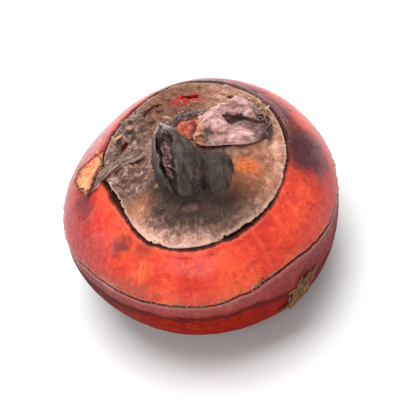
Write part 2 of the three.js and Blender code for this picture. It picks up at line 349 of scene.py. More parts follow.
# ---------------------------------------------------------------------------------------------
# Materials: a small node helper
# ---------------------------------------------------------------------------------------------
class Material:
    def __init__(self, name, roughness=0.5, **fixed):
        self.m = bpy.data.materials.new(name)
        self.m.use_nodes = True
        self.t = self.m.node_tree
        self.t.nodes.clear()
        self.out = self.t.nodes.new("ShaderNodeOutputMaterial")
        self.bsdf = self.t.nodes.new("ShaderNodeBsdfPrincipled")
        self.t.links.new(self.bsdf.outputs[0], self.out.inputs[0])
        self.bsdf.inputs["Roughness"].default_value = roughness
        for k, v in fixed.items():
            self.bsdf.inputs[k.replace("_", " ")].default_value = v
        coord = self.t.nodes.new("ShaderNodeTexCoord")
        self.mm = self.vmath("SCALE", coord.outputs["Object"], scale=1000.0)
        self.normal = None

    def put(self, socket, value):
        if isinstance(value, bpy.types.NodeSocket):
            self.t.links.new(value, socket)
        elif isinstance(value, (tuple, list)) and len(value) == 3 and socket.type == "RGBA":
            socket.default_value = (*value, 1.0)
        else:
            socket.default_value = value

    def vmath(self, op, a, b=None, scale=None):
        n = self.t.nodes.new("ShaderNodeVectorMath")
        n.operation = op
        self.put(n.inputs[0], a)
        if b is not None:
            self.put(n.inputs[1], b)
        if scale is not None:
            self.put(n.inputs["Scale"], scale)
        return n.outputs["Value"] if op in ("LENGTH", "DISTANCE", "DOT_PRODUCT") else n.outputs["Vector"]

    def math(self, op, a, b=None, c=None, clamp=False):
        n = self.t.nodes.new("ShaderNodeMath")
        n.operation = op
        n.use_clamp = clamp
        for s, v in zip(n.inputs, (a, b, c)):
            if v is not None:
                self.put(s, v)
        return n.outputs[0]

    def add(self, a, b):
        return self.math("ADD", a, b)

    def mul(self, a, b):
        return self.math("MULTIPLY", a, b)

    def step(self, a, b, x):
        """0 at a, 1 at b, smooth between; a may be above b."""
        n = self.t.nodes.new("ShaderNodeMapRange")
        n.interpolation_type = "SMOOTHSTEP"
        self.put(n.inputs["Value"], x)
        lo, hi, x0, x1 = (a, b, 0.0, 1.0) if a < b else (b, a, 1.0, 0.0)
        n.inputs["From Min"].default_value = lo
        n.inputs["From Max"].default_value = hi
        n.inputs["To Min"].default_value = x0
        n.inputs["To Max"].default_value = x1
        return n.outputs["Result"]

    def attr(self, name):
        n = self.t.nodes.new("ShaderNodeAttribute")
        n.attribute_name = name
        return n.outputs["Fac"]

    def noise(self, scale, detail=3.0, rough=0.5, vector=None, distortion=0.0, offset=None):
        n = self.t.nodes.new("ShaderNodeTexNoise")
        v = vector if vector is not None else self.mm
        if offset is not None:
            v = self.vmath("ADD", v, offset)
        self.put(n.inputs["Vector"], v)
        n.inputs["Scale"].default_value = scale
        n.inputs["Detail"].default_value = detail
        n.inputs["Roughness"].default_value = rough
        n.inputs["Distortion"].default_value = distortion
        return n.outputs["Fac"]

    def voronoi(self, scale, vector=None, feature="F1", rand=1.0):
        n = self.t.nodes.new("ShaderNodeTexVoronoi")
        n.feature = feature
        self.put(n.inputs["Vector"], vector if vector is not None else self.mm)
        n.inputs["Scale"].default_value = scale
        n.inputs["Randomness"].default_value = rand
        return n.outputs["Distance"]

    def radial(self, centre, turns, outwards, upwards=0.0):
        """Coordinates that turn noise into streaks running out from a vertical axis at centre (x, y), in mm."""
        p = self.vmath("SUBTRACT", self.mm, (centre[0], centre[1], 0.0))
        s = self.t.nodes.new("ShaderNodeSeparateXYZ")
        self.put(s.inputs[0], p)
        flat = self.t.nodes.new("ShaderNodeCombineXYZ")
        self.put(flat.inputs[0], s.outputs[0])
        self.put(flat.inputs[1], s.outputs[1])
        r = self.vmath("LENGTH", flat.outputs[0])
        unit = self.vmath("SCALE", self.vmath("NORMALIZE", flat.outputs[0]), scale=turns)
        z = self.t.nodes.new("ShaderNodeCombineXYZ")
        self.put(z.inputs[2], self.add(self.mul(r, outwards), self.mul(s.outputs[2], upwards)))
        return self.vmath("ADD", unit, z.outputs[0])

    def mix(self, fac, a, b, blend="MIX"):
        n = self.t.nodes.new("ShaderNodeMix")
        n.data_type = "RGBA"
        n.blend_type = blend
        n.clamp_factor = True
        self.put(n.inputs[0], fac)
        self.put(n.inputs[6], a)
        self.put(n.inputs[7], b)
        return n.outputs[2]

    def ramp(self, fac, stops, interpolation="LINEAR"):
        n = self.t.nodes.new("ShaderNodeValToRGB")
        cr = n.color_ramp
        cr.interpolation = interpolation
        while len(cr.elements) < len(stops):
            cr.elements.new(0.5)
        for e, (pos, col) in zip(cr.elements, stops):
            e.position = pos
            e.color = (*col, 1.0)
        self.put(n.inputs[0], fac)
        return n.outputs[0]

    def spot(self, centre, radius, soft=0.5, stretch=None, ragged=0.0, scale=0.6):
        """1 inside a blotch round a point in mm, 0 outside, with a ragged edge."""
        p = self.vmath("SUBTRACT", self.mm, tuple(centre))
        if stretch:
            p = self.vmath("MULTIPLY", p, tuple(1.0 / s for s in stretch))
        d = self.vmath("LENGTH", p)
        if ragged:
            d = self.add(d, self.mul(self.add(self.noise(scale, 4, 0.6), -0.5), ragged * 2))
        return self.step(radius * (1 + soft), radius * (1 - soft), d)

    def bump(self, height, millimetres, strength=1.0):
        n = self.t.nodes.new("ShaderNodeBump")
        n.inputs["Strength"].default_value = strength
        n.inputs["Distance"].default_value = millimetres * 0.001
        self.put(n.inputs["Height"], height)
        if self.normal is not None:
            self.put(n.inputs["Normal"], self.normal)
        self.normal = n.outputs[0]

    def finish(self, colour, roughness=None):
        self.put(self.bsdf.inputs["Base Color"], colour)
        if roughness is not None:
            self.put(self.bsdf.inputs["Roughness"], roughness)
        if self.normal is not None:
            self.put(self.bsdf.inputs["Normal"], self.normal)
        return self.m


def wear(piece, material, node=None):
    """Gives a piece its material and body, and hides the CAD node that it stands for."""
    piece.data.materials.clear()
    piece.data.materials.append(material)
    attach(piece, "root")
    if node:
        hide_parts(*([node] if isinstance(node, str) else node))
    return piece


# ---------------------------------------------------------------------------------------------
# The corm
# ---------------------------------------------------------------------------------------------
def corm_skin(level, az):
    """Distance from the centre with every ring, dent and rib, and the signed distances in mm to the rings."""
    e = wandered(level, az)
    d = skin_distance(e, az)
    base = place(e, az, d)
    wobble = 0.16 * noise(vec(np.cos(rad(az)) * 9, np.sin(rad(az)) * 9, 0 * az), 3) + 0.07 * noise(
        vec(np.cos(rad(az)) * 31, np.sin(rad(az)) * 31, 0 * az), 4
    )
    per_degree = rad(1.0) * d
    crown = (level - RING_ELEVATION[0]) * per_degree * 1.07 + wobble
    girdle = (level - RING_ELEVATION[1]) * per_degree + wobble * 0.9
    foot = (level - RING_ELEVATION[2]) * per_degree * 1.05 + wobble
    # broad unevenness and faint ribs that run from pole to pole
    d = d + 0.13 * fbm(base / 6.5, 3, 11) + 0.035 * fbm(base / 1.7, 3, 12)
    ribs = noise(vec(np.cos(rad(az)) * 26, np.sin(rad(az)) * 26, level / 60), 13)
    d = d + 0.022 * ribs * smooth(-70, -20, level)
    # small dents
    pits = noise(base / 1.15, 14)
    d = d - 0.09 * smooth(0.5, 0.95, pits) * smooth(-0.3, 0.4, noise(base / 5, 15))
    # crown ring: the skin stops in a rolled lip and drops into a trough under the papery leaf
    d = d + 0.13 * bell(crown + 0.35, 0.5)
    d = d - (LEAF_SEAT + 0.35) * smooth(-0.05, 0.55, crown) + 0.35 * smooth(1.6, 3.0, crown)
    # girdle ring: a thin cut with the upper skin standing a little proud
    deep = 0.8 + 0.35 * noise(vec(np.cos(rad(az)) * 5, np.sin(rad(az)) * 5, 0 * az + 3), 16)
    d = d - 0.30 * deep * bell(girdle, 0.2)
    d = d + 0.13 * smooth(-0.05, 0.1, girdle) * np.exp(-np.clip(girdle, 0, 9) / 1.4)
    d = d - 0.05 * bell(girdle + 0.6, 0.5)
    # base ring: faint
    d = d - 0.16 * bell(foot, 0.22) + 0.06 * smooth(-0.05, 0.1, foot) * np.exp(-np.clip(foot, 0, 9) / 1.0)
    return e, d, crown, girdle, foot


def corm_points(level, az):
    e, d, crown, girdle, foot = corm_skin(level, az)
    p = place(e, az, d)
    floor_gap = p[..., 2]
    # flattened underside: what would go below the surface it rests on is pressed flat
    out = np.hypot(p[..., 0] + CENTRE[0], p[..., 1] + CENTRE[1])
    pressed = 0.03 + 0.07 * np.abs(fbm(p / 1.3, 3, 21)) + 0.10 * smooth(6.8, 9, out)
    soft = 0.35
    low = pressed + soft * np.log1p(np.exp(np.clip((floor_gap - pressed) / soft, -30, 30)))
    p[..., 2] = np.where(level < -25, np.minimum(np.maximum(low - soft * 0.0, pressed), np.maximum(floor_gap, pressed) + 0.25), p[..., 2])
    # the scar where the stolon broke off
    inside = (level < -50) & (out < SCAR_RADIUS * 1.6)
    hollow = SCAR_DEPTH * smooth(SCAR_RADIUS * 1.05, SCAR_RADIUS * 0.55, out)
    rim = 0.18 * bell(out - SCAR_RADIUS * 1.12, 0.35)
    rays = 0.16 * noise(vec(np.cos(rad(az)) * 7, np.sin(rad(az)) * 7, out * 0.5), 22) * smooth(0.2, 1.2, out)
    stub = 0.55 * smooth(1.15, 0.75, out) * (1 + 0.3 * noise(p * 2.2, 23))
    p[..., 2] = np.where(inside, p[..., 2] + hollow + rays * smooth(SCAR_RADIUS * 1.3, SCAR_RADIUS * 0.8, out) - stub * 0.6 + rim * 0.0, p[..., 2])
    return p, crown, girdle, foot


def levels():
    """Row levels in degrees, packed tighter where rings and edges are."""
    l = np.linspace(-90, 90, 4001)
    density = np.ones_like(l) * 0.9
    density += 3.2 * bell(l - RING_ELEVATION[1], 2.6)
    density += 2.6 * bell(l - RING_ELEVATION[0] - 0.5, 3.2)
    density += 1.8 * bell(l - RING_ELEVATION[2], 2.4)
    density *= np.where(l > 42, 0.30, 1.0)
    density *= np.where(l < -50, 0.8, 1.0)
    total = np.cumsum(density)
    total = (total - total[0]) / (total[-1] - total[0])
    return np.interp(np.linspace(0, 1, 206), total, l)


def make_corm():
    cols = 464
    rows = levels()
    level, az = np.meshgrid(rows[1:-1], np.arange(cols) / cols * 360 - 180, indexing="ij")
    p, crown, girdle, foot = corm_points(level, az)
    poles, pc, pg, pf = corm_points(np.array([-90.0, 90.0]), np.array([0.0, 0.0]))
    v = np.concatenate([[poles[0]], p.reshape(-1, 3), [poles[1]]])
    n = len(rows) - 2
    q = ring_quads(n, cols, 1)
    j = np.arange(cols)
    k = (j + 1) % cols
    last = 1 + (n - 1) * cols
    t = np.concatenate(
        [np.stack([np.zeros(cols, int), 1 + k, 1 + j], -1), np.stack([last + j, last + k, np.full(cols, len(v) - 1)], -1)]
    )

    def at(a, ends):
        return np.concatenate([[ends[0]], a.ravel(), [ends[1]]])

    return build(
        "corm_body",
        v,
        q,
        t,
        {
            "crown_mm": at(crown, pc),
            "girdle_mm": at(girdle, pg),
            "foot_mm": at(foot, pf),
            "level": at(level, (-90, 90)),
        },
    )


def skin_material():
    m = Material("corm_skin", 0.3, IOR=1.47)
    m.bsdf.inputs["Coat Roughness"].default_value = 0.22
    m.bsdf.inputs["Specular IOR Level"].default_value = 0.0
    m.bsdf.inputs["Coat IOR"].default_value = 1.5
    crown, girdle, foot, level = (m.attr(a) for a in ("crown_mm", "girdle_mm", "foot_mm", "level"))
    big = m.noise(0.16, 3, 0.5, distortion=0.4)
    mid = m.noise(0.55, 4, 0.6)
    fine = m.noise(2.6, 4, 0.65)
    streaks = m.noise(1.0, 4, 0.6, vector=m.radial(CENTRE, 17.0, 0.05, 0.07))
    thin = m.noise(1.0, 5, 0.7, vector=m.radial(CENTRE, 60.0, 0.10, 0.22))
    # band between the crown ring and the girdle ring: vivid orange-red
    band = m.ramp(big, [(0.34, (0.60, 0.040, 0.026)), (0.48, (0.74, 0.062, 0.032)), (0.60, (0.86, 0.102, 0.040)), (0.72, (0.80, 0.085, 0.042))])
    band = m.mix(m.mul(m.step(0.52, 0.72, streaks), 0.45), band, (0.92, 0.135, 0.052))
    band = m.mix(m.mul(m.step(0.46, 0.30, streaks), 0.30), band, (0.50, 0.030, 0.024))
    band = m.mix(m.mul(m.step(0.52, 0.66, mid), 0.60), band, (0.52, 0.034, 0.030))
    mottle = m.noise(1.35, 5, 0.7, offset=(5.0, 9.0, 2.0))
    band = m.mix(m.mul(m.step(0.52, 0.66, mottle), 0.55), band, (0.48, 0.028, 0.024))
    band = m.mix(m.mul(m.step(0.46, 0.34, mottle), 0.35), band, (0.98, 0.190, 0.085))
    band = m.mix(m.mul(m.step(0.58, 0.74, thin), 0.18), band, (0.95, 0.20, 0.095))
    # redder and pinker towards the sides and the back, partly painted shade where the band turns away
    sides = m.step(10.0, 18.5, m.math("ABSOLUTE", m.separate("X")))
    band = m.mix(m.mul(m.math("MAXIMUM", sides, m.step(-6.0, 6.0, m.separate("Y"))), 0.56), band, m.ramp(mottle, [(0.36, (0.62, 0.050, 0.048)), (0.62, (0.36, 0.022, 0.026))]))
    # below the girdle: deeper red, then maroon towards the base, the darkening partly painted shade
    low = m.ramp(mottle, [(0.34, (0.20, 0.006, 0.002)), (0.50, (0.30, 0.011, 0.003)), (0.66, (0.42, 0.026, 0.008))])
    low = m.mix(m.mul(m.step(0.50, 0.66, mid), 0.65), low, (0.22, 0.010, 0.006))
    # a painted pinkish sheen just under the girdle ring
    low = m.mix(m.mul(m.step(-2.6, -0.4, m.add(girdle, m.mul(m.add(mid, -0.5), 2.0))), 0.85), low, m.ramp(mottle, [(0.36, (0.42, 0.060, 0.052)), (0.62, (0.22, 0.036, 0.038))]))
    low = m.mix(m.mul(m.step(0.50, 0.66, streaks), 0.35), low, (0.20, 0.010, 0.008))
    # a painted mauve-pink sheen under the girdle, wider at the right, with a dark lower limit
    reach = m.add(m.add(girdle, m.mul(m.step(3.0, 12.0, m.separate("X")), 2.2)), m.add(m.mul(m.add(mid, -0.5), 1.4), m.mul(m.add(big, -0.5), 2.0)))
    front = m.step(4.0, -6.0, m.separate("Y"))
    flank = m.math("MAXIMUM", m.step(3.0, 15.0, m.separate("X")), m.math("MAXIMUM", m.step(-8.0, -16.0, m.separate("X")), m.step(-10.0, 2.0, m.separate("Y"))))
    # darker at the flanks and the back: painted shade
    low = m.mix(m.mul(flank, 0.80), low, m.ramp(mottle, [(0.36, (0.17, 0.026, 0.026)), (0.62, (0.070, 0.014, 0.016))]))
    drift = m.noise(0.24, 4, 0.62, distortion=0.5, offset=(12.0, 3.0, 8.0))
    low = m.mix(m.mul(m.mul(flank, m.step(0.52, 0.62, drift)), 0.45), low, (0.30, 0.050, 0.042))
    limit = m.mul(m.step(-3.5, -2.9, reach), m.step(-1.9, -2.6, reach))
    low = m.mix(m.mul(m.mul(limit, front), 0.74), low, (0.070, 0.010, 0.010))
    low = m.mix(m.mul(m.mul(m.step(-2.7, -1.9, reach), front), 0.62), low, m.ramp(m.mixf(0.5, mottle, drift), [(0.38, (0.44, 0.120, 0.118)), (0.50, (0.34, 0.060, 0.054)), (0.62, (0.22, 0.052, 0.058))]))
    low = m.mix(m.mul(m.mul(flank, m.step(0.46, 0.37, drift)), 0.55), low, (0.050, 0.014, 0.017))
    low = m.mix(m.mul(m.mul(flank, m.step(0.47, 0.36, thin)), 0.30), low, (0.055, 0.012, 0.013))
    # darker towards the base: partly painted shade
    deep = m.ramp(mid, [(0.34, (0.060, 0.006, 0.005)), (0.55, (0.16, 0.010, 0.006)), (0.75, (0.28, 0.02, 0.010))])
    low = m.mix(m.step(-1.0, -8.0, m.add(foot, m.mul(m.add(big, -0.5), 8.0))), low, deep)
    low = m.mix(m.mul(m.step(0.3, -0.6, foot), 0.30), low, (0.11, 0.008, 0.007))
    colour = m.mix(m.step(-0.12, 0.12, girdle), low, band)
    # purple-black blotches: two at the sides of the band, more round the back
    dark = (0.060, 0.028, 0.034)
    blot = m.spot((16.2, -1.8, 20.0), 3.3, 0.55, (0.95, 1.25, 1.1), 2.0, 0.45)
    colour = m.mix(m.mul(blot, 0.93), colour, m.ramp(mid, [(0.36, (0.040, 0.026, 0.034)), (0.64, (0.105, 0.055, 0.068))]))
    blot = m.spot((-15.9, -2.2, 20.4), 1.9, 0.7, (1.1, 1.2, 0.9), 1.6, 0.6)
    colour = m.mix(m.mul(blot, 0.88), colour, (0.12, 0.042, 0.048))
    smudge = m.spot((-11.8, -10.6, 20.2), 1.35, 0.7, (1.1, 0.9, 1.4), 1.9, 0.9)
    colour = m.mix(m.mul(smudge, 0.82), colour, (0.13, 0.026, 0.030))
    smudge = m.spot((-8.6, -12.6, 20.6), 1.4, 0.8, (1.3, 0.8, 1.0), 1.6, 1.1)
    colour = m.mix(m.mul(smudge, 0.62), colour, (0.20, 0.022, 0.024))
    back = m.mul(m.step(2.0, 12.0, m.separate("Y")), m.step(0.50, 0.60, m.noise(0.11, 4, 0.55, distortion=0.6, offset=(31.0, 7.0, 3.0))))
    colour = m.mix(m.mul(back, 0.90), colour, (0.045, 0.020, 0.024))
    # darker blotches low on the body, partly painted shade
    under = m.mul(m.step(9.0, 4.0, m.separate("Z")), m.step(0.47, 0.60, m.noise(0.17, 4, 0.6, offset=(5.0, 17.0, 23.0))))
    colour = m.mix(m.mul(under, 0.75), colour, (0.035, 0.012, 0.013))
    # the band darkens to maroon beside the crown ring, most at the back and right
    far = m.mul(m.step(7.0, 0.0, m.separate("X")), m.step(2.0, 9.0, m.separate("Y")))
    near = m.mul(m.step(-4.4, -0.8, m.add(m.add(crown, m.mul(far, -2.4)), m.mul(m.add(mid, -0.5), 2.4))), m.step(-4.0, 5.0, m.add(m.separate("Y"), m.mul(m.separate("X"), 0.40))))
    colour = m.mix(m.mul(near, 0.90), colour, m.ramp(mottle, [(0.36, (0.095, 0.022, 0.022)), (0.64, (0.040, 0.016, 0.017))]))
    # a painted pinkish sheen on the back of the band
    pale = m.mul(m.step(-3.2, -6.5, m.add(crown, m.mul(m.add(mid, -0.5), 1.6))), m.step(-4.0, 6.0, m.separate("Y")))
    colour = m.mix(m.mul(m.mul(pale, m.step(-1.0, 2.0, girdle)), 0.45), colour, (0.50, 0.135, 0.130))
    # a painted pale pink sheen below the crown ring at the back left
    crown_rim_sheen = m.mul(m.mul(far, m.step(-0.9, -2.0, m.add(crown, m.mul(m.add(mid, -0.5), 1.4)))), m.step(-8.0, -4.5, crown))
    colour = m.mix(m.mul(crown_rim_sheen, 0.75), colour, m.ramp(mottle, [(0.36, (0.50, 0.27, 0.28)), (0.62, (0.29, 0.115, 0.125))]))
    # pinker, darker red at the far left of the band: painted shade where the band turns away
    left_edge_shade = m.mul(m.step(-12.5, -18.0, m.add(m.separate("X"), m.mul(m.add(mid, -0.5), 4.0))), m.step(-0.2, 0.4, girdle))
    colour = m.mix(m.mul(left_edge_shade, 0.62), colour, m.ramp(mottle, [(0.36, (0.38, 0.055, 0.058)), (0.62, (0.20, 0.032, 0.036))]))
    # olive-brown patch with orange wisps over the girdle ring, front left
    olive = m.mul(m.spot((-11.6, -14.9, 16.0), 2.5, 0.6, (1.5, 1.2, 0.62), 1.4, 0.7), m.step(0.40, 0.60, m.noise(1.6, 4, 0.65)))
    colour = m.mix(m.mul(olive, 0.75), colour, (0.24, 0.105, 0.050))
    stale = m.mul(m.step(3.2, 0.1, girdle), m.step(-0.1, 0.1, girdle))
    stale = m.mul(stale, m.step(0.47, 0.62, m.noise(1.0, 5, 0.65, vector=m.radial(CENTRE, 24.0, 0.3, 0.5))))
    colour = m.mix(m.mul(stale, 0.42), colour, (0.38, 0.135, 0.055))
    scuff = m.mul(m.spot((-14.6, -12.5, 15.0), 1.1, 0.4, (1.2, 1.2, 0.9), 1.8, 1.4), m.step(0.44, 0.56, m.noise(1.9, 4, 0.7, offset=(6.0, 2.0, 9.0))))
    colour = m.mix(m.mul(scuff, 0.72), colour, (0.36, 0.27, 0.25))
    # specks and dark flecks
    speck = m.mul(m.step(0.20, 0.11, m.voronoi(0.62)), m.step(0.52, 0.62, mid))
    colour = m.mix(m.mul(speck, 0.55), colour, (0.13, 0.02, 0.02))
    dots = m.step(0.66, 0.74, m.noise(4.2, 2, 0.5, offset=(9.0, 1.0, 4.0)))
    colour = m.mix(m.mul(dots, 0.25), colour, (0.12, 0.02, 0.018))
    # fine upright scratches
    scratch = m.mul(m.step(0.66, 0.70, m.noise(1.0, 3, 0.6, vector=m.radial(CENTRE, 48.0, 0.02, 0.06))), m.step(0.50, 0.60, m.noise(0.30, 2, 0.5, offset=(2.0, 3.0, 9.0))))
    colour = m.mix(m.mul(scratch, 0.35), colour, (0.95, 0.34, 0.15))
    nick = m.mul(m.spot((-9.8, -14.4, 18.0), 1.5, 0.4, (0.9, 0.9, 1.3)), m.step(0.56, 0.62, m.noise(1.0, 3, 0.6, vector=m.radial(CENTRE, 95.0, 0.04, 0.16), offset=(3.0, 0.0, 0.0))))
    colour = m.mix(m.mul(nick, 0.42), colour, (0.98, 0.38, 0.17))
    # ring lines
    edge = m.add(girdle, m.mul(m.add(fine, -0.5), 0.22))
    line = m.mul(m.step(-0.34, -0.10, edge), m.step(0.30, 0.10, edge))
    colour = m.mix(m.mul(line, 0.94), colour, (0.030, 0.013, 0.012))
    lip = m.mul(m.step(-0.95, -0.45, edge), m.step(-0.22, -0.38, edge))
    colour = m.mix(m.mul(lip, 0.35), colour, (0.72, 0.26, 0.22))
    rim = m.mul(m.step(0.85, 0.30, edge), m.step(0.10, 0.24, edge))
    rim = m.mul(rim, m.step(0.46, 0.58, m.noise(1.0, 4, 0.7, vector=m.radial(CENTRE, 50.0, 0.3, 0.5))))
    colour = m.mix(m.mul(rim, 0.75), colour, (0.46, 0.17, 0.065))
    foot_line = m.mul(m.step(-0.30, -0.08, foot), m.step(0.26, 0.08, foot))
    colour = m.mix(m.mul(foot_line, 0.8), colour, (0.030, 0.011, 0.010))
    # the trough at the crown ring and everything under the leaf: dark tissue, with painted shade in the groove under
    # the leaf's edge
    trough = m.step(-0.22, 0.20, m.add(crown, m.mul(m.add(fine, -0.5), 0.35)))
    soil = m.ramp(fine, [(0.35, (0.016, 0.009, 0.008)), (0.60, (0.040, 0.018, 0.014)), (0.80, (0.095, 0.035, 0.024))])
    colour = m.mix(trough, colour, soil)
    bare = m.step(3.0, 4.0, crown)
    colour = m.mix(bare, colour, m.ramp(mid, [(0.35, (0.30, 0.010, 0.012)), (0.65, (0.46, 0.022, 0.020))]))
    # scar on the base
    out = m.vmath("LENGTH", m.vmath("MULTIPLY", m.vmath("ADD", m.mm, (CENTRE[0], CENTRE[1], 0.0)), (1.0, 1.0, 0.0)))
    scar = m.mul(m.step(4.1, 3.2, m.add(out, m.mul(m.add(mid, -0.5), 1.2))), m.step(-40.0, -55.0, level))
    fibre = m.noise(1.0, 5, 0.7, vector=m.radial((-CENTRE[0], -CENTRE[1]), 9.0, 0.5))
    colour = m.mix(scar, colour, m.ramp(fibre, [(0.34, (0.030, 0.014, 0.010)), (0.52, (0.15, 0.065, 0.036)), (0.70, (0.34, 0.19, 0.11))]))
    rough = m.add(m.mul(fine, 0.16), 0.20)
    rough = m.mixf(m.mul(back, 0.6), rough, 0.30)
    rough = m.mixf(line, rough, 0.75)
    rough = m.mixf(trough, rough, 0.80)
    rough = m.mixf(scar, rough, 0.85)
    rough = m.mixf(m.mul(olive, 0.8), rough, 0.6)
    # the waxy coat is worn off below the girdle ring
    worn = m.mul(m.step(-3.0, 0.5, girdle), m.add(0.42, m.mul(m.step(-6.0, 8.0, m.separate("Y")), 0.20)))
    worn = m.math("MAXIMUM", worn, m.mul(m.step(-9.0, 6.0, m.separate("Y")), 0.34))
    worn = m.mul(m.add(worn, 0.08), m.add(1.0, m.mul(trough, -1.0)))
    m.put(m.bsdf.inputs["Coat Weight"], worn)
    m.bump(m.noise(1.0, 4, 0.6, vector=m.radial(CENTRE, 60.0, 0.10, 0.3)), 0.035, 0.8)
    m.bump(fine, 0.05, 0.5)
    m.bump(m.noise(7.0, 2, 0.5), 0.006, 0.4)
    return m.finish(colour, rough)


def separate(self, axis):
    s = self.t.nodes.new("ShaderNodeSeparateXYZ")
    self.put(s.inputs[0], self.mm)
    return s.outputs["XYZ".index(axis)]


def mixf(self, fac, a, b):
    n = self.t.nodes.new("ShaderNodeMix")
    n.data_type = "FLOAT"
    n.clamp_factor = True
    self.put(n.inputs[0], fac)
    self.put(n.inputs[2], a)
    self.put(n.inputs[3], b)
    return n.outputs[0]


Material.separate = separate
Material.mixf = mixf

wear(make_corm(), skin_material(), "corm")


# ---------------------------------------------------------------------------------------------
# The papery crown leaf
# ---------------------------------------------------------------------------------------------
# Tears in the leaf: x, y, half length, half width, turn in degrees. The leaf dips under the skin there.
TEARS = ((1.8, 10.3, 1.3, 0.32, -8), (-8.7, 4.1, 1.1, 0.35, 70), (-3.6, 9.9, 1.3, 0.28, 12), (7.9, 8.6, 0.9, 0.3, -30))


def tear(x, y):
    out = np.zeros(np.shape(x))
    ragged = 0.45 * fbm(vec(x * 1.6, y * 1.6, 0 * x), 3, 31)
    for cx, cy, a, b, turn in TEARS:
        c, s = math.cos(math.radians(turn)), math.sin(math.radians(turn))
        u, v = (x - cx) * c + (y - cy) * s, -(x - cx) * s + (y - cy) * c
        out = np.maximum(out, smooth(1.25, 0.85, np.hypot(u / a, v / b) + ragged))
    return out


def leaf_edge(az):
    """The leaf's free edge, as x and y."""
    front = np.cos(rad(az + 110))
    gap = 1.75 + 0.75 * front
    c, s = np.cos(rad(az)), np.sin(rad(az))
    left = bell((az % 360) - 200, 26)
    gap = gap + 0.7 * left * (1 + 0.6 * noise(vec(c * 9, s * 9, 0 * az), 40))
    gap = gap + 0.42 * noise(vec(c * 4, s * 4, 0 * az), 41) + 0.20 * noise(vec(c * 13, s * 13, 0 * az), 42)
    gap = gap + 0.13 * noise(vec(c * 41, s * 41, 0 * az), 43) + 0.09 * noise(vec(c * 97, s * 97, 0 * az), 44)
    notch = noise(vec(c * 19, s * 19, 0 * az + 5), 45)
    gap = gap + 0.8 * smooth(0.70, 0.95, notch)
    e = around(RING_PATH[0], az + 90) + gap
    d = skin_distance(e, az) * np.cos(rad(e))
    return d * c - CENTRE[0], d * s - CENTRE[1]


def leaf_height(x, y, rim):
    """Height of the leaf's upper face; rim is the distance in mm from the free edge."""
    z = crown_height(x, y)
    near = bud_distance(x, y)
    dx, dy = x - CROWN_MIDDLE[0], y - CROWN_MIDDLE[1]
    r = np.hypot(dx, dy) + 1e-6
    cx, cy = dx / r, dy / r
    # collar that climbs to the feet of the buds
    climb = np.exp(-np.clip(near, 0, 30) / 1.9) * smooth(-2.5, 0.5, near)
    z = z + 1.75 * climb + 0.30 * bell(near - 2.3, 1.2) * smooth(2, -6, y)
    # a shallow dish outside the collar and a rounded rim round it
    z = z - 0.55 * bell(near - 4.6, 2.0)
    z = z + 0.24 * bell(rim - 0.9, 0.75) * smooth(9, 2, y) - 0.16 * bell(rim - 2.2, 0.8) * smooth(9, 2, y)
    # soft cockles, strongest at the left and back
    where = 0.40 + 0.85 * smooth(-1, -8, x) + 0.50 * smooth(0, 8, y)
    wx, wy = x + 0.8 * noise(vec(x / 4, y / 4, 0 * x), 56), y + 0.8 * noise(vec(x / 4, y / 4, 0 * x + 7), 57)
    z = z + 0.50 * where * fbm(vec(wx / 2.7, wy / 2.7, 0 * x), 4, 51) * smooth(0, 2.0, rim)
    wet = smooth(-3.5, -7.5, x) * smooth(6, 1, y)
    z = z + 0.62 * wet * fbm(vec(wx / 1.7, wy / 1.9, 0 * x + 3), 2, 50) * smooth(0.2, 1.4, rim)
    crease = 1 - np.abs(noise(vec(wx / 2.0, wy / 2.0, 0 * x), 52)) * 2.2
    z = z + 0.24 * where * np.clip(crease, 0, 1) ** 2 * smooth(0.3, 2.0, rim)
    crease = 1 - np.abs(noise(vec(wx / 0.9, wy / 0.9, 0 * x), 58)) * 2.4
    z = z + (0.05 + 0.17 * smooth(-1, 7, y) + 0.08 * wet) * np.clip(crease, 0, 1) ** 2
    z = z + 0.05 * fbm(vec(x / 0.55, y / 0.55, 0 * x), 3, 59)
    # the mark of an old scale in front of the buds: a small raised oval
    oval = np.hypot((x + 1.5) / 1.75, (y + 10.3) / 0.85)
    z = z + 0.20 * bell(oval - 1.0, 0.28) - 0.12 * smooth(0.9, 0.4, oval)
    # radial fibres, strong on the collar and faint outside it
    fibres = noise(vec(cx * 22, cy * 22, r * 0.35), 53)
    fine = noise(vec(cx * 55, cy * 55, r * 0.8), 54)
    strength = 0.018 + 0.13 * np.exp(-np.clip(near, 0, 30) / 1.7)
    z = z + strength * fibres + 0.6 * strength * fine
    # the free edge curls up a little in places
    lift = -0.06 + 0.20 * smooth(0.1, 0.8, noise(vec(cx * 5, cy * 5, 0 * r + 2), 55))
    z = z + lift * np.exp(-rim / 0.7)
    return z


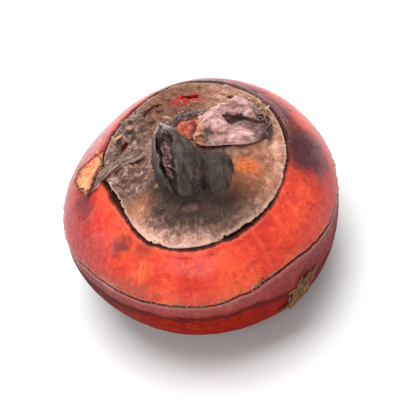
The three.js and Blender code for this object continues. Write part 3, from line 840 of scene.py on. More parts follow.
def make_leaf():
    cols, rows = 560, 118
    az = np.arange(cols) / cols * 360 - 180
    ex, ey = leaf_edge(az)
    turn = np.arctan2(ey - CROWN_MIDDLE[1], ex - CROWN_MIDDLE[0])
    ix = CROWN_MIDDLE[0] + 2.9 * np.cos(turn)
    iy = CROWN_MIDDLE[1] - 2.6 + 1.2 * np.sin(turn)
    t = np.linspace(0, 1, rows) ** 1.12
    t = t[:, None]
    x, y = ex * (1 - t) + ix * t, ey * (1 - t) + iy * t
    rim = t * np.hypot(ex - ix, ey - iy)
    z = leaf_height(x, y, rim)
    hole = tear(x, y)
    top = vec(x, y, z - 1.7 * hole)
    thick = 0.16 + 0.14 * smooth(0, 3, rim)
    # underside: same outline, a few rows only
    pick = np.unique(np.concatenate([[0, 1, 3, 6], np.linspace(10, rows - 1, 12).astype(int)]))
    under = top[pick].copy()
    under[..., 2] -= thick[pick] + 0.25 * smooth(0, 1.5, rim[pick])
    lip = top[0].copy()
    lip[:, 2] -= 0.08
    lip[:, :2] *= 1.002
    v = np.concatenate([top.reshape(-1, 3), under.reshape(-1, 3)])
    q_top = ring_quads(rows, cols)
    m = len(pick)
    q_under = ring_quads(m, cols, rows * cols)[:, ::-1]
    j = np.arange(cols)
    k = (j + 1) % cols
    base = rows * cols
    outer = np.stack([base + j, base + k, k, j], -1)
    a, b = (rows - 1) * cols, base + (m - 1) * cols
    inner = np.stack([a + j, a + k, b + k, b + j], -1)
    both = {
        "rim_mm": np.concatenate([rim.ravel(), rim[pick].ravel()]),
        "bud_mm": np.concatenate([bud_distance(x, y).ravel(), bud_distance(x, y)[pick].ravel()]),
        "tear": np.concatenate([hole.ravel(), hole[pick].ravel()]),
    }
    return build("papery_crown_leaf", v, np.concatenate([q_top, q_under, outer, inner]), attrs=both, sharp=70)


def leaf_material():
    m = Material("papery_leaf", 0.62, IOR=1.4)
    m.bsdf.inputs["Specular IOR Level"].default_value = 0.15
    rim, bud = m.attr("rim_mm"), m.attr("bud_mm")
    tearing = m.attr("tear")
    x, y = m.separate("X"), m.separate("Y")
    big = m.noise(0.28, 4, 0.6, distortion=0.5)
    mid = m.noise(0.9, 5, 0.65)
    fine = m.noise(4.0, 4, 0.65)
    rays = m.noise(1.0, 5, 0.65, vector=m.radial(CROWN_MIDDLE, 20.0, 0.16))
    thin = m.noise(1.0, 5, 0.75, vector=m.radial(CROWN_MIDDLE, 75.0, 0.45))
    grain = m.noise(7.0, 3, 0.6)
    colour = m.ramp(mid, [(0.30, (0.27, 0.105, 0.060)), (0.44, (0.43, 0.185, 0.112)), (0.56, (0.56, 0.265, 0.170)), (0.72, (0.70, 0.39, 0.29))])
    # rusty orange-brown mottling, most at the left
    rust = m.mul(m.step(0.47, 0.58, big), m.step(0.40, 0.56, m.noise(1.3, 5, 0.7, offset=(11.0, 2.0, 5.0))))
    rust = m.mul(rust, m.add(0.45, m.mul(0.55, m.step(3.0, -5.0, x))))
    colour = m.mix(m.mul(rust, 0.85), colour, (0.40, 0.130, 0.055))
    colour = m.mix(m.mul(m.step(0.46, 0.34, rays), 0.40), colour, (0.30, 0.135, 0.085))
    colour = m.mix(m.mul(m.step(0.57, 0.70, rays), 0.25), colour, (0.72, 0.45, 0.36))
    colour = m.mix(m.mul(m.step(0.60, 0.72, thin), 0.22), colour, (0.80, 0.56, 0.46))
    colour = m.mix(m.mul(m.step(0.43, 0.33, thin), 0.35), colour, (0.22, 0.095, 0.060))
    cloud = m.noise(0.75, 4, 0.62, distortion=0.7, offset=(1.0, 13.0, 4.0))
    colour = m.mix(m.mul(m.step(0.53, 0.63, cloud), 0.50), colour, (0.82, 0.56, 0.49))
    colour = m.mix(m.mul(m.step(0.46, 0.37, cloud), 0.45), colour, (0.27, 0.105, 0.060))
    # grains: pale and brown dots
    colour = m.mix(m.mul(m.step(0.58, 0.68, grain), 0.40), colour, (0.78, 0.52, 0.40))
    colour = m.mix(m.mul(m.step(0.42, 0.33, grain), 0.50), colour, (0.20, 0.082, 0.046))
    front = m.mul(m.step(-8.0, -11.5, m.add(m.add(y, m.mul(x, 0.10)), m.mul(m.add(mid, -0.5), 4.0))), 0.72)
    colour = m.mix(front, colour, m.ramp(m.noise(2.2, 4, 0.65), [(0.38, (0.56, 0.25, 0.180)), (0.60, (0.90, 0.60, 0.51))]))
    # brown at the back, greyer and wet at the left, rusty grains beside the right rim
    back = m.step(-0.5, 5.5, m.add(y, m.mul(m.add(mid, -0.5), 9.0)))
    colour = m.mix(m.mul(back, 0.88), colour, m.ramp(m.noise(1.6, 5, 0.72, distortion=0.6), [(0.36, (0.030, 0.010, 0.006)), (0.46, (0.080, 0.028, 0.014)), (0.55, (0.150, 0.056, 0.029)), (0.66, (0.27, 0.120, 0.068))]))
    left = m.mul(m.step(-2.5, -7.0, m.add(x, m.mul(m.add(mid, -0.5), 5.0))), m.step(-9.5, -5.0, m.add(y, m.mul(m.add(big, -0.5), 5.0))))
    colour = m.mix(m.mul(left, 0.90), colour, m.ramp(m.noise(0.85, 5, 0.68, distortion=0.8, offset=(4.0, 1.0, 2.0)), [(0.38, (0.032, 0.018, 0.015)), (0.48, (0.080, 0.046, 0.038)), (0.56, (0.18, 0.108, 0.090)), (0.65, (0.38, 0.25, 0.215)), (0.74, (0.62, 0.46, 0.41))]))
    right = m.mul(m.math("MAXIMUM", m.step(6.5, 12.0, m.add(x, m.mul(m.add(mid, -0.5), 5.0))), m.mul(m.step(2.0, 6.0, x), m.step(-5.0, -1.0, y))), 0.56)
    colour = m.mix(right, colour, m.ramp(m.mixf(0.5, m.noise(3.4, 5, 0.7), m.noise(0.8, 4, 0.6, offset=(2.0, 6.0, 3.0))), [(0.40, (0.15, 0.056, 0.030)), (0.49, (0.40, 0.190, 0.120)), (0.59, (0.74, 0.46, 0.36))]))
    # a painted shadow between the husk and the side bud, with a rusty patch beside it
    patch = m.spot((8.9, -3.0, 23.0), 2.3, 0.7, (0.85, 1.3, 2.0), 2.2, 0.9)
    colour = m.mix(m.mul(patch, 0.72), colour, m.ramp(m.noise(1.6, 4, 0.7), [(0.40, (0.12, 0.040, 0.020)), (0.60, (0.34, 0.135, 0.072))]))
    # painted shadow under the husk
    patch = m.spot((3.0, -1.6, 23.9), 3.0, 0.6, (1.15, 1.05, 2.6), 1.8, 0.9)
    colour = m.mix(m.mul(patch, 0.90), colour, m.ramp(mid, [(0.36, (0.030, 0.017, 0.013)), (0.64, (0.105, 0.056, 0.041))]))
    # dark middle with fibres, reaching out in front of the buds
    reach = m.add(bud, m.mul(m.add(rays, -0.5), 1.8))
    reach = m.add(reach, m.mul(m.add(m.noise(1.1, 5, 0.7, offset=(3.0, 3.0, 3.0)), -0.5), 4.5))
    # it reaches farther in front, less far at the right
    reach = m.add(reach, m.mul(m.step(-6.0, -9.5, y), -0.9))
    reach = m.add(reach, m.mul(m.step(2.0, 6.5, x), 0.9))
    dark = m.ramp(m.mixf(0.55, thin, m.noise(1.5, 5, 0.7, distortion=0.5, offset=(8.0, 1.0, 6.0))), [(0.30, (0.018, 0.011, 0.009)), (0.50, (0.050, 0.030, 0.023)), (0.64, (0.095, 0.058, 0.046)), (0.76, (0.17, 0.108, 0.086))])
    colour = m.mix(m.mul(m.step(4.6, 2.6, reach), 0.70), colour, m.ramp(mid, [(0.34, (0.075, 0.036, 0.024)), (0.66, (0.17, 0.085, 0.058))]))
    colour = m.mix(m.mul(m.step(3.5, 1.3, reach), 0.96), colour, dark)
    colour = m.mix(m.mul(m.step(1.3, 0.2, bud), 0.75), colour, (0.022, 0.013, 0.010))
    # painted shade in the cleft behind the buds
    cleft = m.spot((1.5, -1.3, 24.3), 1.2, 0.8, (1.0, 1.2, 2.6), 1.0, 1.0)
    colour = m.mix(m.mul(cleft, 0.90), colour, (0.012, 0.007, 0.006))
    # orange stain right of the side bud
    stain = m.spot((6.6, -6.6, 23.2), 2.9, 0.8, (1.2, 1.0, 1.8), 2.2, 0.9)
    colour = m.mix(m.mul(stain, 0.80), colour, m.ramp(mid, [(0.36, (0.15, 0.050, 0.026)), (0.64, (0.34, 0.115, 0.050))]))
    stain = m.spot((7.1, -4.9, 23.0), 1.7, 0.6, (1.05, 1.0, 1.8), 1.4, 1.0)
    colour = m.mix(m.mul(stain, 0.90), colour, m.ramp(m.noise(2.4, 4, 0.7), [(0.38, (0.32, 0.060, 0.016)), (0.52, (0.60, 0.125, 0.022)), (0.68, (0.76, 0.23, 0.065))]))
    stain = m.spot((-7.6, -7.0, 22.8), 1.5, 0.9, (1.4, 1.0, 1.0), 1.6, 0.9)
    colour = m.mix(m.mul(stain, 0.45), colour, (0.46, 0.15, 0.075))
    # pinkish scar in front of the buds
    scar = m.spot((-1.5, -10.3, 23.0), 1.0, 0.30, (1.8, 0.85, 4.0), 0.25, 2.0)
    colour = m.mix(m.mul(scar, 0.85), colour, (0.030, 0.016, 0.012))
    scar = m.spot((-1.5, -10.3, 23.0), 0.70, 0.30, (1.9, 0.75, 4.0), 0.25, 2.0)
    colour = m.mix(m.mul(scar, 0.85), colour, m.ramp(mid, [(0.36, (0.065, 0.034, 0.026)), (0.64, (0.17, 0.088, 0.068))]))
    # pale free edge with a dark line behind it
    edge = m.add(rim, m.mul(m.add(fine, -0.5), 0.5))
    colour = m.mix(m.mul(m.step(0.40, 0.10, edge), 0.55), colour, (0.62, 0.41, 0.32))
    behind = m.mul(m.step(0.35, 0.75, edge), m.step(1.7, 1.0, edge))
    colour = m.mix(m.mul(behind, m.mul(m.step(0.42, 0.60, mid), 0.45)), colour, (0.26, 0.12, 0.08))
    # specks of soil
    soil = m.step(0.64, 0.72, m.noise(3.0, 4, 0.7, offset=(3.0, 8.0, 1.0)))
    colour = m.mix(m.mul(soil, 0.55), colour, (0.060, 0.030, 0.022))
    red = m.spot((1.2, 9.7, 21.5), 2.0, 0.45, (1.3, 0.72, 2.0), 1.3, 1.1)
    colour = m.mix(m.mul(red, 0.92), colour, m.ramp(mid, [(0.35, (0.22, 0.006, 0.010)), (0.65, (0.52, 0.012, 0.018))]))
    colour = m.mix(m.step(0.02, 0.35, tearing), colour, (0.055, 0.022, 0.018))
    rough = m.add(m.mul(fine, 0.3), 0.40)
    rough = m.mixf(m.mul(left, 0.9), rough, 0.24)
    m.bump(rays, 0.05, 0.5)
    m.bump(thin, 0.04, 0.6)
    m.bump(m.noise(3.0, 4, 0.65), 0.06, 0.6)
    m.bump(m.noise(11.0, 3, 0.6), 0.02, 0.6)
    return m.finish(colour, rough)


wear(make_leaf(), leaf_material(), "crown_leaf")


# ---------------------------------------------------------------------------------------------
# Buds
# ---------------------------------------------------------------------------------------------
def frame_along(points, t, side):
    """Point, side and outward directions along a curve."""
    c = spline(points, t)
    h = 1e-3
    tangent = spline(points, np.minimum(t + h, 1)) - spline(points, np.maximum(t - h, 0))
    tangent /= np.linalg.norm(tangent, axis=-1, keepdims=True)
    b = np.cross(tangent, np.broadcast_to(side, tangent.shape))
    b /= np.linalg.norm(b, axis=-1, keepdims=True)
    a = np.cross(b, tangent)
    return c, a, -b


MAIN_SPINE = ((-1.0, -7.8, 21.5), (-1.1, -6.7, 23.9), (-1.6, -4.2, 26.3), (-2.5, -1.4, 28.0), (-3.1, 1.8, 29.1))
SIDE_SPINE = ((2.2, -9.5, 21.2), (2.5, -8.4, 23.4), (2.9, -6.1, 25.3), (3.5, -3.3, 26.5))


def make_main_bud():
    """The outer scale of the main bud: a hood open at its left front."""
    rows, cols = 96, 110
    s = np.linspace(0, 1, rows)[:, None]
    t = np.linspace(0, 1, cols)[None, :]
    s, t = np.broadcast_arrays(s, t)
    # the opening lies left of the line that faces the front; it starts above the foot
    middle = spline((-0.8, -0.74, -0.62, -0.50, -0.37, -0.22, -0.1), s)
    half = spline((0.03, 0.04, 0.12, 0.36, 0.60, 0.70, 0.12), s)
    half = half * (1 + 0.26 * noise(vec(s * 9, 0 * s, 0 * s), 65) + 0.14 * noise(vec(s * 27, 0 * s, 0 * s), 66))
    phi = middle + half + t * (2 * math.pi - 2 * half)
    across = spline((2.7, 2.5, 2.95, 3.2, 2.65, 1.6, 0.16), s)
    through = spline((2.5, 2.3, 2.25, 2.1, 1.7, 1.1, 0.14), s)
    c, side, out = frame_along(MAIN_SPINE, s, (1.0, 0.0, 0.0))
    # ridges that run from foot to tip, a stout right edge and a thin left one
    wave = phi + 0.25 * noise(vec(s * 4, 0 * s, 0 * s), 60)
    ridge = 0.12 * noise(vec(np.cos(wave) * 4.0, np.sin(wave) * 4.0, s * 2.2), 61) + 0.07 * noise(vec(np.cos(wave) * 11, np.sin(wave) * 11, s * 3), 62)
    fold = 1 - np.abs(noise(vec(np.cos(wave) * 6, np.sin(wave) * 6, s * 1.6 + 3), 64)) * 2.6
    ridge = ridge + 0.09 * np.clip(fold, 0, 1) ** 1.5 + 0.07 * fbm(vec(np.cos(phi) * 3, np.sin(phi) * 3, s * 9), 4, 63)
    right = np.exp(-t / 0.05) * smooth(0.30, 0.5, s)
    left = np.exp(-(1 - t) / 0.05) * smooth(0.3, 0.5, s)
    k = 1 + ridge + 0.17 * right + 0.10 * left
    lean = 0.35 * smooth(0.25, 0.9, s)
    p = c + side * (across * k * np.sin(phi))[..., None] + out * (through * k * np.cos(phi) - 0.15 * lean)[..., None]
    thick = (0.34 + 0.20 * right) * (0.35 + 0.65 * smooth(1.0, 0.85, s))
    flare = smooth(0.12, 0.0, s)
    p = p + (out * np.cos(phi)[..., None] + side * np.sin(phi)[..., None]) * (flare * 0.5)[..., None]
    return sheet("main_bud_hood", p, thick, {"along": s, "turn": t, "edge": np.maximum(right, left)}, sharp=60)


def make_bud_core():
    """What shows inside the hood: a shrivelled inner bud and torn brown shreds."""
    rng = np.random.default_rng(7)

    def point(t, phi):
        s = t * 0.86 + 0.04
        c, side, out = frame_along(MAIN_SPINE, s, (1.0, 0.0, 0.0))
        w = spline((2.1, 2.0, 2.15, 2.35, 1.9, 1.0, 0.05), t)
        d = spline((1.9, 1.8, 1.6, 1.35, 1.0, 0.6, 0.03), t)
        k = 1 + 0.16 * noise(vec(np.cos(phi) * 3, np.sin(phi) * 3, t * 5), 71) + 0.10 * noise(vec(np.cos(phi) * 8, np.sin(phi) * 8, t * 9), 72)
        return c + side * (w * k * np.sin(phi))[..., None] + out * (d * k * np.cos(phi) - 0.25)[..., None]

    parts = [lobe(40, 48, point)]
    parts[0][3]["kind"] = np.zeros(len(parts[0][0]))
    for n in range(20):
        s0 = rng.uniform(0.40, 0.86)
        c, side, out = frame_along(MAIN_SPINE, np.array(s0), (1.0, 0.0, 0.0))
        phi = spline((-0.9, -0.8, -0.66, -0.54, -0.38, -0.22, -0.1), s0) + rng.uniform(-0.34, 0.34)
        w, d = spline((2.1, 2.2, 2.4, 1.7, 0.6), s0), spline((1.9, 1.75, 1.5, 1.1, 0.4), s0)
        centre = c + side * (w * math.sin(phi)) + out * (d * math.cos(phi) + 0.05)
        ahead = frame_along(MAIN_SPINE, np.array(min(s0 + 0.05, 1.0)), (1.0, 0.0, 0.0))[0] - c
        along = ahead / np.linalg.norm(ahead) + rng.normal(size=3) * 0.32
        along /= np.linalg.norm(along)
        across = np.cross(along, out + rng.normal(size=3) * 0.35)
        across /= np.linalg.norm(across)
        up = np.cross(across, along)
        length, width = rng.uniform(1.0, 2.8), rng.uniform(0.35, 0.9)
        u = np.linspace(-0.5, 0.5, 12)[:, None]
        v = np.linspace(-0.5, 0.5, 6)[None, :]
        u, v = np.broadcast_arrays(u, v)
        taper = (1 - 0.8 * np.abs(u * 2) ** 2) * (1 + 0.3 * noise(vec(u * 8, 0 * u, 0 * u + n), 74))
        bend = rng.uniform(-0.4, 0.8)
        p = centre + along * (u * length)[..., None] + across * (v * width * taper)[..., None]
        p = p + up * (bend * (u * 2) ** 2 * 0.3 + rng.uniform(-0.3, 0.4) * (v * 2) ** 2 * 0.3 + 0.10 * noise(vec(u * 5, v * 5, 0 * u + n), 73))[..., None]
        parts.append(sheet_part(p, 0.13, {"along": u + 0.5, "turn": v + 0.5, "kind": rng.uniform(0.1, 1.0)}))
    return merged("main_bud_core", parts, sharp=60)


def make_side_bud():
    def point(t, phi):
        c, side, out = frame_along(SIDE_SPINE, t, (1.0, 0.1, 0.0))
        tip = np.sqrt(np.clip(1 - np.clip((t - 0.86) / 0.14, 0, 1) ** 2, 0, 1))
        w = spline((2.45, 2.3, 2.25, 2.3, 2.3, 2.15, 1.7), t) * tip * (1 + 0.07 * smooth(0.55, 0.9, t) * noise(vec(np.cos(phi) * 2.4, np.sin(phi) * 2.4, 0 * t), 86))
        d = spline((1.9, 1.75, 1.55, 1.4, 1.25, 1.05, 0.7), t) * tip
        wave = phi + 0.3 * noise(vec(t * 3, 0 * t, 0 * t), 80)
        k = 1 + 0.09 * noise(vec(np.cos(wave) * 3.2, np.sin(wave) * 3.2, t * 2.2), 81) + 0.05 * noise(vec(np.cos(wave) * 12, np.sin(wave) * 12, t * 3.4), 82)
        fold = 1 - np.abs(noise(vec(np.cos(wave) * 5, np.sin(wave) * 5, t * 1.3 + 3), 84)) * 2.6
        k = k + 0.07 * np.clip(fold, 0, 1) ** 1.5 + 0.05 * fbm(vec(np.cos(phi) * 4, np.sin(phi) * 4, t * 7), 4, 85)
        crease = 0.30 * np.exp(-((np.mod(phi + math.pi + 0.75, 2 * math.pi) - math.pi) / 0.16) ** 2) * smooth(0.15, 0.5, t)
        k = k - crease + 0.05 * smooth(0.7, 0.85, t) + 0.12 * smooth(0.35, 0.0, t)
        return c + side * (w * k * np.sin(phi))[..., None] + out * (d * k * np.cos(phi))[..., None]

    part = lobe(80, 110, point)
    return merged("side_bud_lobe", [part])


def bud_material(name, pale_tip):
    m = Material(name, 0.55, IOR=1.45)
    m.bsdf.inputs["Specular IOR Level"].default_value = 0.18
    along, turn, edge = m.attr("along"), m.attr("turn"), m.attr("edge")
    v = m.t.nodes.new("ShaderNodeCombineXYZ")
    m.put(v.inputs[0], m.mul(turn, 7.0))
    m.put(v.inputs[1], m.mul(along, 1.2))
    fibres = m.noise(3.0, 5, 0.7, vector=v.outputs[0])
    mid = m.noise(0.8, 4, 0.6)
    fine = m.noise(4.0, 4, 0.65)
    colour = m.ramp(fibres, [(0.30, (0.013, 0.009, 0.008)), (0.46, (0.032, 0.022, 0.019)), (0.60, (0.062, 0.043, 0.038)), (0.76, (0.115, 0.086, 0.077))])
    colour = m.mix(m.mul(m.step(0.48, 0.62, mid), 0.55), colour, (0.055, 0.031, 0.023))
    colour = m.mix(m.mul(m.step(0.55, 0.68, fine), 0.30), colour, (0.13, 0.100, 0.090))
    worn = m.noise(0.55, 4, 0.6, distortion=0.5, offset=(7.0, 2.0, 1.0))
    colour = m.mix(m.mul(m.step(0.52, 0.64, worn), 0.55), colour, (0.105, 0.064, 0.048))
    colour = m.mix(m.mul(m.step(0.46, 0.36, worn), 0.60), colour, (0.016, 0.011, 0.010))
    # painted shade: black in the cleft between the buds
    cleft = m.spot((1.25, -8.6, 23.8), 0.8, 0.8, (0.8, 1.6, 3.4), 0.5, 1.5)
    colour = m.mix(m.mul(cleft, 0.88), colour, (0.009, 0.006, 0.005))
    # brown at the foot, a painted grey highlight along the edges, pale tip
    colour = m.mix(m.mul(m.step(0.36, 0.05, along), 0.75), colour, m.ramp(fine, [(0.35, (0.022, 0.012, 0.009)), (0.65, (0.070, 0.040, 0.030))]))
    colour = m.mix(m.mul(edge, 0.55), colour, m.ramp(fibres, [(0.38, (0.060, 0.045, 0.040)), (0.62, (0.20, 0.160, 0.148))]))
    tip = m.step(0.84, 0.93, m.add(along, m.mul(m.add(fine, -0.5), 0.16)))
    colour = m.mix(m.mul(tip, pale_tip), colour, m.ramp(fine, [(0.38, (0.20, 0.15, 0.13)), (0.62, (0.50, 0.42, 0.39))]))
    m.bump(fibres, 0.12, 0.8)
    m.bump(fine, 0.05, 0.6)
    m.bump(m.noise(12.0, 3, 0.6), 0.015, 0.5)
    return m.finish(colour, m.add(m.mul(fine, 0.30), 0.30))


def core_material():
    m = Material("bud_core", 0.7)
    m.bsdf.inputs["Specular IOR Level"].default_value = 0.15
    kind = m.attr("kind")
    fine = m.noise(3.5, 4, 0.65)
    inner = m.ramp(fine, [(0.32, (0.014, 0.009, 0.008)), (0.55, (0.050, 0.028, 0.022)), (0.75, (0.12, 0.065, 0.048))])
    shred = m.ramp(m.noise(1.9, 4, 0.65), [(0.34, (0.040, 0.020, 0.016)), (0.46, (0.14, 0.066, 0.054)), (0.58, (0.30, 0.150, 0.128)), (0.70, (0.52, 0.34, 0.29))])
    shred = m.mix(m.step(0.6, 0.15, kind), shred, (0.045, 0.026, 0.021))
    m.bump(fine, 0.08, 0.8)
    return m.finish(m.mix(m.step(0.05, 0.2, kind), inner, shred), 0.75)


wear(make_main_bud(), bud_material("bud_scale", 0.9), "main_bud")
wear(make_bud_core(), core_material(), None)
wear(make_side_bud(), bud_material("side_bud_scale", 0.0), "side_bud")


# ---------------------------------------------------------------------------------------------
# Dry scales on the crown
# ---------------------------------------------------------------------------------------------
def make_husk():
    """A crumpled dry scale: a fold along the front, a hollow behind it and a raised lip at the rear."""
    rows, cols = 120, 150
    # from the left end to the right: x, front edge, crest, hollow and rear lip as y, and their heights over the crown
    plan = np.array(
        [
            [0.9, 0.9, 1.5, 1.9, 2.3, 0.15, 0.75, 0.45, 0.5],
            [2.3, 0.0, 2.0, 2.9, 3.7, 0.10, 1.90, 0.55, 1.0],
            [3.7, -0.5, 2.5, 3.8, 5.0, 0.10, 2.75, 0.50, 0.8],
            [5.1, -0.8, 2.8, 4.5, 6.0, 0.10, 3.05, 0.35, 1.0],
            [6.5, -1.1, 1.1, 4.3, 6.4, 0.15, 1.75, 0.25, 1.5],
            [8.0, -1.3, 1.2, 4.1, 6.5, 0.15, 2.05, 0.25, 2.0],
            [9.5, -1.0, 0.9, 3.2, 5.6, 0.20, 1.60, 0.30, 1.5],
            [10.8, -0.1, 1.0, 2.3, 4.1, 0.25, 1.25, 0.45, 1.1],
            [11.7, 1.0, 1.7, 2.2, 2.9, 0.30, 0.95, 0.60, 0.9],
        ]
    )
    u = np.linspace(0, 1, rows)[:, None]
    v = np.linspace(0, 1, cols)[None, :]
    u, v = np.broadcast_arrays(u, v)
    line = spline(plan, u[:, 0])
    x0, yf, yc, yh, yr, hf, hc, hh, hr = (line[:, n] for n in range(9))
    # across the scale: front edge, bulging wall, crest, inner wall, hollow, rear wall, lip rolled back
    ys = np.stack([yf, yf * 0.65 + yc * 0.35, yf * 0.2 + yc * 0.8, yc, yc + (yh - yc) * 0.30, yc + (yh - yc) * 0.62, yh, yh + (yr - yh) * 0.55, yr - 0.15, yr + 0.35], -1)
    hs = np.stack([hf, hf + (hc - hf) * 0.50, hf + (hc - hf) * 0.90, hc, hh + (hc - hh) * 0.55, hh + (hc - hh) * 0.15, hh, hh + (hr - hh) * 0.45, hr, hr * 0.88], -1)
    y, h = np.zeros(u.shape), np.zeros(u.shape)
    for i in range(rows):
        y[i] = spline(ys[i], v[i])
        h[i] = spline(hs[i], v[i])
    x = x0[:, None] + 0.55 * (v - 0.35) * np.sin(u * math.pi) + 0.18 * noise(vec(v * 5, u * 3, 0 * u), 90)
    # crumpling: sharp creases over soft folds
    q = vec(x / 1.9, y / 1.9, h / 1.9)
    crease = 1 - np.abs(noise(q + 0.5 * noise(q * 0.8, 92)[..., None], 91)) * 2.3
    crease = np.clip(crease, 0, 1) ** 1.4
    small = np.clip(1 - np.abs(noise(q * 2.3 + 4, 93)) * 2.4, 0, 1) ** 1.4
    fade = smooth(0.0, 0.06, v) * 0.8 + 0.2
    h = h + (0.42 * crease - 0.12 + 0.13 * small + 0.22 * fbm(q * 0.9 + 9, 3, 94)) * fade
    y = y + 0.30 * fbm(q * 1.1 + 3, 3, 95) * fade - 0.14 * small * fade
    ragged = smooth(0.86, 1.0, v)
    h = h + ragged * (0.45 * noise(vec(u * 13, 0 * u, 0 * u), 96) + 0.22 * noise(vec(u * 37, 0 * u, 0 * u), 97))
    z = crown_height(x, y) + np.maximum(h, 0.12) + 0.18
    folds = crease * fade
    return sheet("curled_husk", vec(x, y, z), 0.18, {"along": u, "across": v, "fold": folds}, sharp=60, flip=True)


def make_husk_end():
    """Dark curled layers at the husk's right end and under its front wall."""
    parts = []
    rng = np.random.default_rng(57)
    for n in range(5):
        u = np.linspace(0, 1, 26)[:, None]
        v = np.linspace(0, 1, 14)[None, :]
        u, v = np.broadcast_arrays(u, v)
        a0, a1 = -0.9 + rng.uniform(-0.3, 0.9), 0.7 + rng.uniform(-0.3, 0.9)
        a = a0 + (a1 - a0) * u + 0.12 * noise(vec(u * 4, v * 3, 0 * u + n), 107)
        r = 0.8 + 0.20 * n + 0.6 * v + 0.5 * noise(vec(u * 3, v * 1.5, 0 * u + n), 108)
        x = 10.1 + r * np.cos(a) * 0.95 + 0.12 * noise(vec(u * 5, v * 3, 0 * u + n), 104)
        y = 1.9 + r * np.sin(a) * 1.25 + 0.12 * noise(vec(u * 5, v * 3, 0 * u + n + 9), 105)
        h = 0.25 + (0.55 + 1.0 * np.sin(u * math.pi)) * (1.0 - 0.9 * v) * rng.uniform(0.7, 1.2) + 0.16 * noise(vec(u * 8, v * 4, 0 * u + n), 106)
        z = crown_height(x, y) + 0.15 + np.maximum(h, 0.05)
        parts.append(sheet_part(vec(x, y, z), 0.13, {"along": u, "across": v, "kind": rng.uniform(0, 1)}))
    return merged("husk_end_layers", parts, sharp=60)


def husk_material():
    m = Material("dry_husk", 0.5, IOR=1.46)
    m.bsdf.inputs["Specular IOR Level"].default_value = 0.2
    along, across, face = m.attr("along"), m.attr("across"), m.attr("face")
    v = m.t.nodes.new("ShaderNodeCombineXYZ")
    m.put(v.inputs[0], m.mul(across, 4.0))
    m.put(v.inputs[1], m.mul(along, 1.6))
    fibres = m.noise(3.0, 5, 0.7, vector=v.outputs[0])
    mid = m.noise(0.8, 4, 0.6)
    fine = m.noise(4.0, 4, 0.6)
    fold = m.attr("fold")
    outside = m.ramp(fibres, [(0.30, (0.26, 0.115, 0.100)), (0.44, (0.46, 0.235, 0.215)), (0.55, (0.64, 0.370, 0.350)), (0.68, (0.82, 0.61, 0.59))])
    outside = m.mix(m.mul(m.step(0.50, 0.64, mid), 0.65), outside, m.ramp(fine, [(0.35, (0.13, 0.070, 0.055)), (0.65, (0.30, 0.160, 0.125))]))
    # painted highlights along the fold ridges
    outside = m.mix(m.mul(m.step(0.35, 0.85, fold), 0.35), outside, (0.70, 0.50, 0.46))
    outside = m.mix(m.mul(m.step(0.26, 0.04, along), 0.90), outside, m.ramp(fine, [(0.38, (0.42, 0.150, 0.075)), (0.62, (0.74, 0.36, 0.22))]))
    hole = m.spot((3.0, 0.8, 25.6), 0.75, 0.5, (1.15, 1.1, 2.5), 0.8, 1.0)
    outside = m.mix(m.mul(hole, 0.85), outside, (0.070, 0.052, 0.045))
    inside = m.ramp(mid, [(0.34, (0.007, 0.003, 0.003)), (0.50, (0.026, 0.009, 0.006)), (0.68, (0.115, 0.040, 0.023))])
    # painted shade darkens the hollow; the rear lip is pink
    hollow = m.mul(m.step(0.35, 0.42, m.add(across, m.mul(m.add(fine, -0.5), 0.06))), m.step(0.76, 0.64, m.add(across, m.mul(m.add(mid, -0.5), 0.22))))
    colour = m.mix(hollow, outside, inside)
    colour = m.mix(m.mul(m.step(0.95, 1.0, across), 0.5), colour, (0.70, 0.50, 0.45))
    # darker towards the right end and along the back of the crest
    dark_end_and_crest = m.math("MAXIMUM", m.step(0.66, 0.84, m.add(along, m.mul(m.add(mid, -0.5), 0.3))), m.mul(m.step(0.45, 0.62, along), m.mul(m.step(0.20, 0.30, across), m.step(0.5, 0.4, across))))
    dark_end_and_crest = m.mul(dark_end_and_crest, m.add(1.0, m.mul(hollow, -0.8)))
    colour = m.mix(m.mul(dark_end_and_crest, 0.80), colour, m.ramp(fine, [(0.35, (0.030, 0.019, 0.016)), (0.55, (0.085, 0.052, 0.042)), (0.72, (0.24, 0.145, 0.105))]))
    m.bump(fibres, 0.10, 0.7)
    m.bump(fine, 0.05, 0.6)
    return m.finish(colour, m.mixf(hollow, m.add(m.mul(fine, 0.28), 0.24), 0.9))


def husk_end_material():
    m = Material("husk_end", 0.5)
    m.bsdf.inputs["Specular IOR Level"].default_value = 0.2
    kind, across = m.attr("kind"), m.attr("across")
    mid = m.noise(1.4, 4, 0.6)
    fine = m.noise(4.5, 4, 0.65)
    colour = m.ramp(mid, [(0.32, (0.018, 0.010, 0.008)), (0.50, (0.060, 0.034, 0.026)), (0.66, (0.16, 0.092, 0.064)), (0.80, (0.34, 0.22, 0.15))])
    colour = m.mix(m.mul(m.step(0.12, 0.0, across), 0.6), colour, (0.42, 0.28, 0.20))
    colour = m.mix(m.mul(kind, 0.4), colour, (0.060, 0.034, 0.026))
    m.bump(fine, 0.05, 0.7)
    return m.finish(colour, m.add(m.mul(fine, 0.3), 0.32))


def make_orange_scale():
    rows, cols = 36, 36
    v = np.linspace(0, 1, rows)[:, None]
    u = np.linspace(-1, 1, cols)[None, :]
    v, u = np.broadcast_arrays(v, u)
    width = 2.0 * (1 - 0.40 * v**2)
    x = 0.75 + width * u + 0.2 * v
    y = 1.7 + 1.7 * v + 0.5 * u**2
    z = crown_height(x, y) + 0.25 + 1.5 * v - 0.25 * u**2 + 0.22 * fbm(vec(x * 1.3, y * 1.3, v * 3), 3, 111)
    z = z + 0.12 * noise(vec(u * 9, v * 3, 0 * u), 112) * v
    return sheet("orange_inner_scale", vec(x, y, z), 0.26, {"along": v, "across": u}, sharp=55, flip=True)


